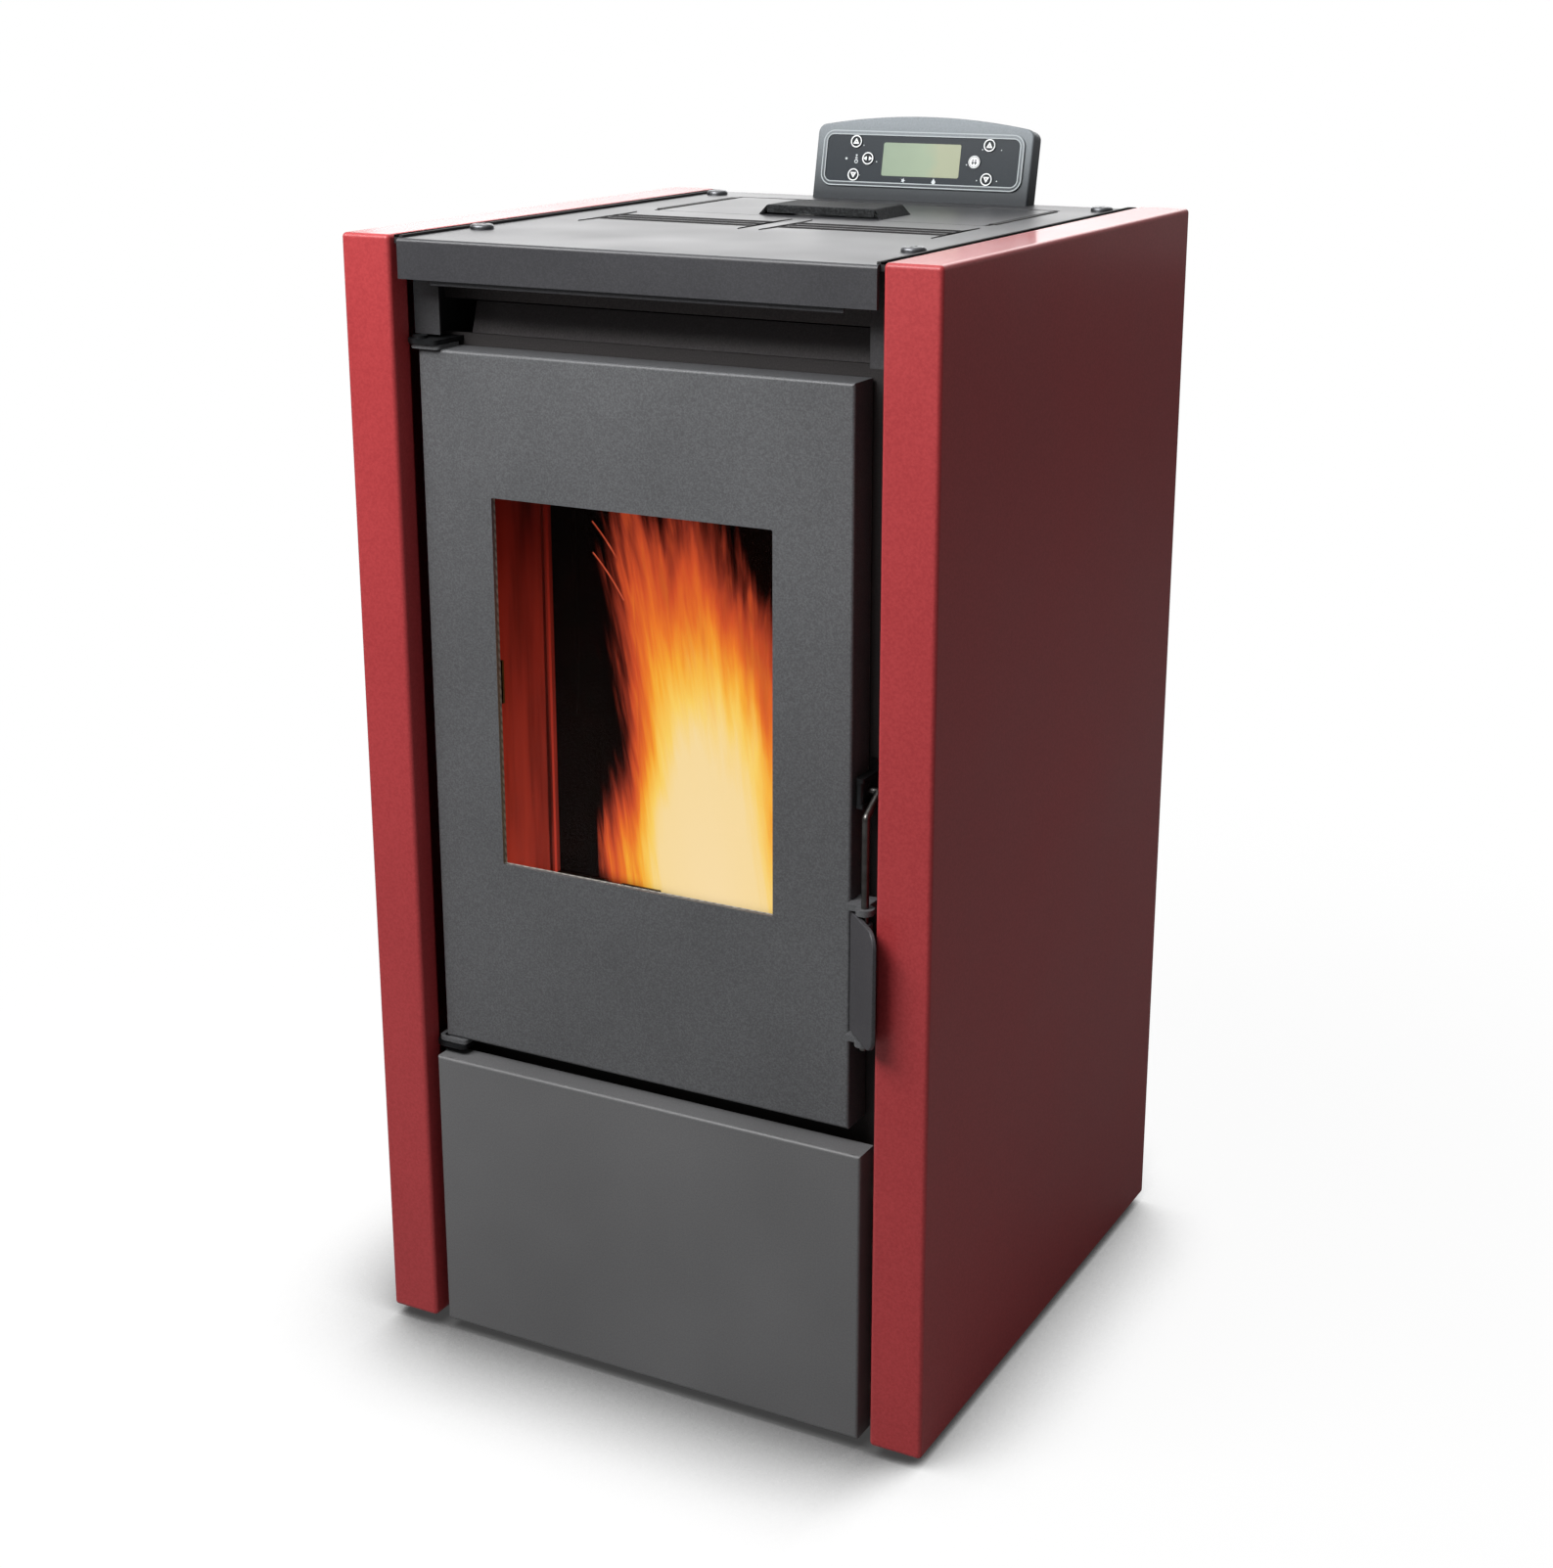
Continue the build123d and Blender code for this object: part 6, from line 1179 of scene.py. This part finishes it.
# two sparks that fly off to the upper left, mm from the middle of the pot's rim
sparks = {
    "paths": [
        [(-72, 19, 247), (-80, 19, 260), (-91, 18, 272)],
        [(-67, 19, 218), (-77, 19, 235), (-91, 18, 250)],
    ],
    "thick": 0.7, "colour": "#c9553a", "dull": "#8c2c18", "flickerSize": 12, "glow": 0.9,
}


def sparkMaterial(name, look):
    # A burning fibre: orange-red light that flickers along its length.
    material, tree, surface, place = startMaterial(name, {
        "Base Color": linearColour("#000000"), "Roughness": 1.0, "Emission Strength": look["glow"],
    })
    flicker = addNode(tree, "ShaderNodeTexNoise", {"Scale": perMetre(look["flickerSize"]), "Detail": 2.0},
                      {"Vector": place})
    tone = addNode(tree, "ShaderNodeValToRGB", {"stops": [(0.35, look["dull"]), (0.6, look["colour"])]},
                   {"Fac": flicker.outputs["Fac"]})
    tree.links.new(tone.outputs["Color"], surface.inputs["Emission Color"])
    return material


def sparkPiece():
    curve = bpy.data.curves.new("sparkPaths", "CURVE")
    curve.dimensions = "3D"
    curve.bevel_depth = sparks["thick"] * mm
    curve.bevel_resolution = 1
    for path in sparks["paths"]:
        spline = curve.splines.new("NURBS")
        spline.points.add(len(path) - 1)
        for index, (point, step) in enumerate(zip(spline.points, path)):
            point.co = (*(fireCentre + Vector(step) * mm), 1)
            point.radius = 0.25 + 0.75 * math.sin(math.pi * (index + 0.6) / len(path))
        spline.order_u = 3
        spline.use_endpoint_u = True
    drawn = bpy.data.objects.new("sparkDrawn", curve)
    bpy.context.scene.collection.objects.link(drawn)
    bpy.context.view_layer.update()
    mesh = bpy.data.meshes.new_from_object(drawn)
    bpy.data.objects.remove(drawn)
    shape = bmesh.new()
    shape.from_mesh(mesh)
    bpy.data.meshes.remove(mesh)
    bmesh.ops.recalc_face_normals(shape, faces=shape.faces[:])
    finishPiece("flame_sparks", shape, sparkMaterial("sparkGlow", sparks), "stove_body",
                smooth=True)


sparkPiece()

# Wood pellets in the burn pot, charring from grey ash to glowing edges.
pellets = {
    "radius": 3.0, "shortest": 9, "longest": 17, "rim": 0.5,
    "bedWidth": 56, "bedDepth": 38, "floor": 9.5, "layerRise": 5.2,      # inside the pot, mm
    "columns": 6, "rows": 4, "layers": 3,
    "scatter": 2, "heightScatter": 0.6, "tip": 0.25, "seed": 7,
    "ash": "#8d857b", "char": "#1d1613", "glow": "#ff7a1e", "fading": "#7a1c06", "glowPower": 2.2,
    "crackSize": 5,
}


def pelletEmbers(name, look):
    # Burning wood: ash-grey skin, black char, and orange cracks that give light.
    material, tree, surface, place = startMaterial(name, {
        "Roughness": 0.95, "Emission Strength": look["glowPower"],
    })
    cracks = addNode(tree, "ShaderNodeTexNoise",
                     {"Scale": perMetre(look["crackSize"]), "Detail": 4.0, "Roughness": 0.7},
                     {"Vector": place})
    skin = addNode(tree, "ShaderNodeValToRGB", {"stops": [(0.4, look["char"]), (0.62, look["ash"])]},
                   {"Fac": cracks.outputs["Fac"]})
    glowTone = addNode(tree, "ShaderNodeValToRGB", {
        "stops": [(0.40, look["glow"]), (0.50, look["fading"]), (0.56, "#000000")],
    }, {"Fac": cracks.outputs["Fac"]})
    tree.links.new(skin.outputs["Color"], surface.inputs["Base Color"])
    tree.links.new(glowTone.outputs["Color"], surface.inputs["Emission Color"])
    bump = addNode(tree, "ShaderNodeBump", {"Strength": 0.6, "Distance": 0.4 * mm},
                   {"Height": cracks.outputs["Fac"]})
    tree.links.new(bump.outputs["Normal"], surface.inputs["Normal"])
    return material


def emberPellet(dice):
    # one pellet, its ends bevelled, standing on Z
    pellet = bmesh.new()
    long = dice.uniform(pellets["shortest"], pellets["longest"]) * mm
    bmesh.ops.create_cone(pellet, cap_ends=True, segments=10, radius1=pellets["radius"] * mm,
                          radius2=pellets["radius"] * mm, depth=long)
    rims = [edge for edge in pellet.edges if abs(edge.verts[0].co.z - edge.verts[1].co.z) < 1e-6]
    bmesh.ops.bevel(pellet, geom=rims, affect="EDGES", offset=pellets["rim"] * mm, segments=1,
                    profile=0.5, material=-1)
    return pellet


def emberBed():
    # layers of pellets, each lying at random near its cell of the bed
    dice = random.Random(pellets["seed"])
    bed = bmesh.new()
    width, depth, scatter = pellets["bedWidth"], pellets["bedDepth"], pellets["scatter"]
    low = Vector((fireCentre.x - width / 2 * mm, fireCentre.y - depth / 2 * mm,
                  potLow.z + pellets["floor"] * mm))
    for layer in range(pellets["layers"]):
        for column in range(pellets["columns"]):
            for row in range(pellets["rows"]):
                pellet = emberPellet(dice)
                place = low + Vector((
                    (column + 0.5) * width / pellets["columns"] + dice.uniform(-scatter, scatter),
                    (row + 0.5) * depth / pellets["rows"] + dice.uniform(-scatter, scatter),
                    layer * pellets["layerRise"]
                    + dice.uniform(-pellets["heightScatter"], pellets["heightScatter"]),
                )) * mm
                turn = Matrix.Rotation(dice.uniform(0, math.pi), 4, "Z") @ Matrix.Rotation(
                    math.pi / 2 + dice.uniform(-pellets["tip"], pellets["tip"]), 4, "X")
                bmesh.ops.transform(pellet, matrix=Matrix.Translation(place) @ turn, verts=pellet.verts[:])
                mergeInto(bed, pellet)
    finishPiece("ember_bed", bed, pelletEmbers("pelletEmbers", pellets), "burn_pot",
                smooth=True)


emberBed()
print("fire done")


# Studio.

studio = {
    "floorSize": 14, "nearFloor": 0.5, "farFloor": 1.3,
    "floorColour": "#8e8e8e",             # of the paper, as the stove is lit by it
    "shadeReach": 0.14, "shadeDark": 0.05, "shadeShare": 0.94,
    "shadeFull": 0.47, "shadeGone": 0.93, "shadeSamples": 12,
    "sideFrom": 0.17, "sideTo": 0.225, "sideLift": 0.14,
    "skyFill": 0.20, "skyDim": 0.30,
    "brightWall": (-0.6, 0.8, 0.0), "wallFrom": 0.55, "wallTo": 0.93,    # its direction and soft edge
}


def studioFloor():
    # Pale paper floor. The camera sees it white, with the stove's own shadow, faint, and a painted shadow:
    # the soft dark line where it stands, drawn from occlusion. Far away it is plain white.
    shape = bmesh.new()
    bmesh.ops.create_grid(shape, x_segments=1, y_segments=1, size=studio["floorSize"] / 2)
    mesh = bpy.data.meshes.new("studioFloor")
    shape.to_mesh(mesh)
    shape.free()
    floor = bpy.data.objects.new("studioFloor", mesh)
    bpy.context.scene.collection.objects.link(floor)
    material = bpy.data.materials.new("palePaper")
    material.use_nodes = True
    tree = material.node_tree
    tree.nodes.clear()
    place = addNode(tree, "ShaderNodeTexCoord").outputs["Object"]
    away = addNode(tree, "ShaderNodeVectorMath", {"operation": "LENGTH"}, {0: place})
    far = addNode(tree, "ShaderNodeMapRange", {
        "interpolation_type": "SMOOTHSTEP", 1: studio["nearFloor"], 2: studio["farFloor"],
        3: studio["shadeShare"], 4: 1.0,
    }, {0: away.outputs["Value"]})
    ray = addNode(tree, "ShaderNodeLightPath")
    seen = addNode(tree, "ShaderNodeMath", {"operation": "MULTIPLY"},
                   {0: far.outputs[0], 1: ray.outputs["Is Camera Ray"]})
    colour = addNode(tree, "ShaderNodeMix", {
        "data_type": "RGBA", 6: linearColour(studio["floorColour"]), 7: linearColour("#ffffff"),
    }, {0: ray.outputs["Is Camera Ray"]})
    lit = addNode(tree, "ShaderNodeBsdfDiffuse", links={"Color": colour.outputs[2]})
    nearness = addNode(tree, "ShaderNodeAmbientOcclusion", {
        "samples": studio["shadeSamples"], "Distance": studio["shadeReach"],
    })
    # the painted shade is thinner on the right
    parts = addNode(tree, "ShaderNodeSeparateXYZ", links={"Vector": place})
    lift = addNode(tree, "ShaderNodeMapRange", {
        "interpolation_type": "SMOOTHSTEP", 1: studio["sideFrom"], 2: studio["sideTo"],
        3: 0.0, 4: studio["sideLift"],
    }, {0: parts.outputs["X"]})
    openness = addNode(tree, "ShaderNodeMath", {"operation": "ADD"},
                       {0: nearness.outputs["AO"], 1: lift.outputs[0]})
    shade = addNode(tree, "ShaderNodeMapRange", {
        1: studio["shadeFull"], 2: studio["shadeGone"], 3: studio["shadeDark"], 4: 1.0,
    }, {0: openness.outputs[0]})
    plain = addNode(tree, "ShaderNodeEmission", {"Color": (1, 1, 1, 1)}, {"Strength": shade.outputs[0]})
    both = addNode(tree, "ShaderNodeMixShader",
                   links={0: seen.outputs[0], 1: lit.outputs[0], 2: plain.outputs[0]})
    addNode(tree, "ShaderNodeOutputMaterial", links={"Surface": both.outputs[0]})
    mesh.materials.append(material)


def studioSky():
    # White where it is seen, mirrored or looked at through the glass, and soft fill elsewhere.
    # Mirrors see one bright wall, behind the stove on the left, and the rest of the room dimmer.
    world = bpy.data.worlds.new("studioSky")
    world.use_nodes = True
    tree = world.node_tree
    tree.nodes.clear()
    ray = addNode(tree, "ShaderNodeLightPath")
    towards = addNode(tree, "ShaderNodeTexCoord").outputs["Generated"]
    facing = addNode(tree, "ShaderNodeVectorMath", {"operation": "DOT_PRODUCT", 1: studio["brightWall"]},
                     {0: towards})
    room = addNode(tree, "ShaderNodeMapRange", {
        "interpolation_type": "SMOOTHSTEP", 1: studio["wallFrom"], 2: studio["wallTo"],
        3: studio["skyDim"], 4: 1.0,
    }, {0: facing.outputs["Value"]})
    mirrored = addNode(tree, "ShaderNodeMath", {"operation": "MULTIPLY"},
                       {0: room.outputs[0], 1: ray.outputs["Is Glossy Ray"]})
    direct = addNode(tree, "ShaderNodeMath", {"operation": "LESS_THAN", 1: 0.5},
                     {0: ray.outputs["Diffuse Depth"]})
    through = addNode(tree, "ShaderNodeMath", {"operation": "MULTIPLY"},
                      {0: direct.outputs[0], 1: ray.outputs["Is Transmission Ray"]})
    plain = addNode(tree, "ShaderNodeMath", {"operation": "MAXIMUM"},
                    {0: ray.outputs["Is Camera Ray"], 1: through.outputs[0]})
    bright = addNode(tree, "ShaderNodeMath", {"operation": "MAXIMUM"},
                     {0: plain.outputs[0], 1: mirrored.outputs[0]})
    power = addNode(tree, "ShaderNodeMath", {"operation": "MAXIMUM", 1: studio["skyFill"]},
                    {0: bright.outputs[0]})
    sky = addNode(tree, "ShaderNodeBackground", {"Color": (1, 1, 1, 1)}, {"Strength": power.outputs[0]})
    addNode(tree, "ShaderNodeOutputWorld", links={"Surface": sky.outputs[0]})
    bpy.context.scene.world = world


softBoxes = {
    "keyLight": {"place": (-0.42, -1.05, 1.62), "size": (1.2, 0.7), "power": 33},
    "topLight": {"place": (-0.2, -0.2, 2.6), "size": (2.2, 2.2), "power": 18},
    "backLight": {"place": (-0.9, 2.6, 1.7), "size": (2.6, 1.4), "power": 23},
}


def studioLights():
    aim = (cadLow + cadHigh) / 2
    for name, box in softBoxes.items():
        data = bpy.data.lights.new(name, "AREA")
        data.shape = "RECTANGLE"
        data.size, data.size_y = box["size"]
        data.energy = box["power"]
        light = bpy.data.objects.new(name, data)
        bpy.context.scene.collection.objects.link(light)
        light.location = box["place"]
        light.visible_camera = False
        light.rotation_euler = (aim - light.location).to_track_quat("-Z", "Y").to_euler()


# fitted to the corners of the panels, the door and the window in the photograph
camera = {
    "place": (0.7943, -1.5154, 0.9450), "turn": 28.10, "down": 16.755,
    "sensor": 36, "lens": 56.48, "shift": -0.04,
}


def studioCamera():
    data = bpy.data.cameras.new("studioCamera")
    data.sensor_fit = "HORIZONTAL"
    data.sensor_width = camera["sensor"]
    data.lens = camera["lens"]
    data.shift_y = camera["shift"]
    eye = bpy.data.objects.new("studioCamera", data)
    bpy.context.scene.collection.objects.link(eye)
    eye.location = camera["place"]
    eye.rotation_euler = (math.radians(90 - camera["down"]), 0, math.radians(camera["turn"]))
    bpy.context.scene.camera = eye


studioFloor()
studioSky()
studioLights()
studioCamera()
bpy.context.scene.view_settings.view_transform = "Standard"
print("studio done")
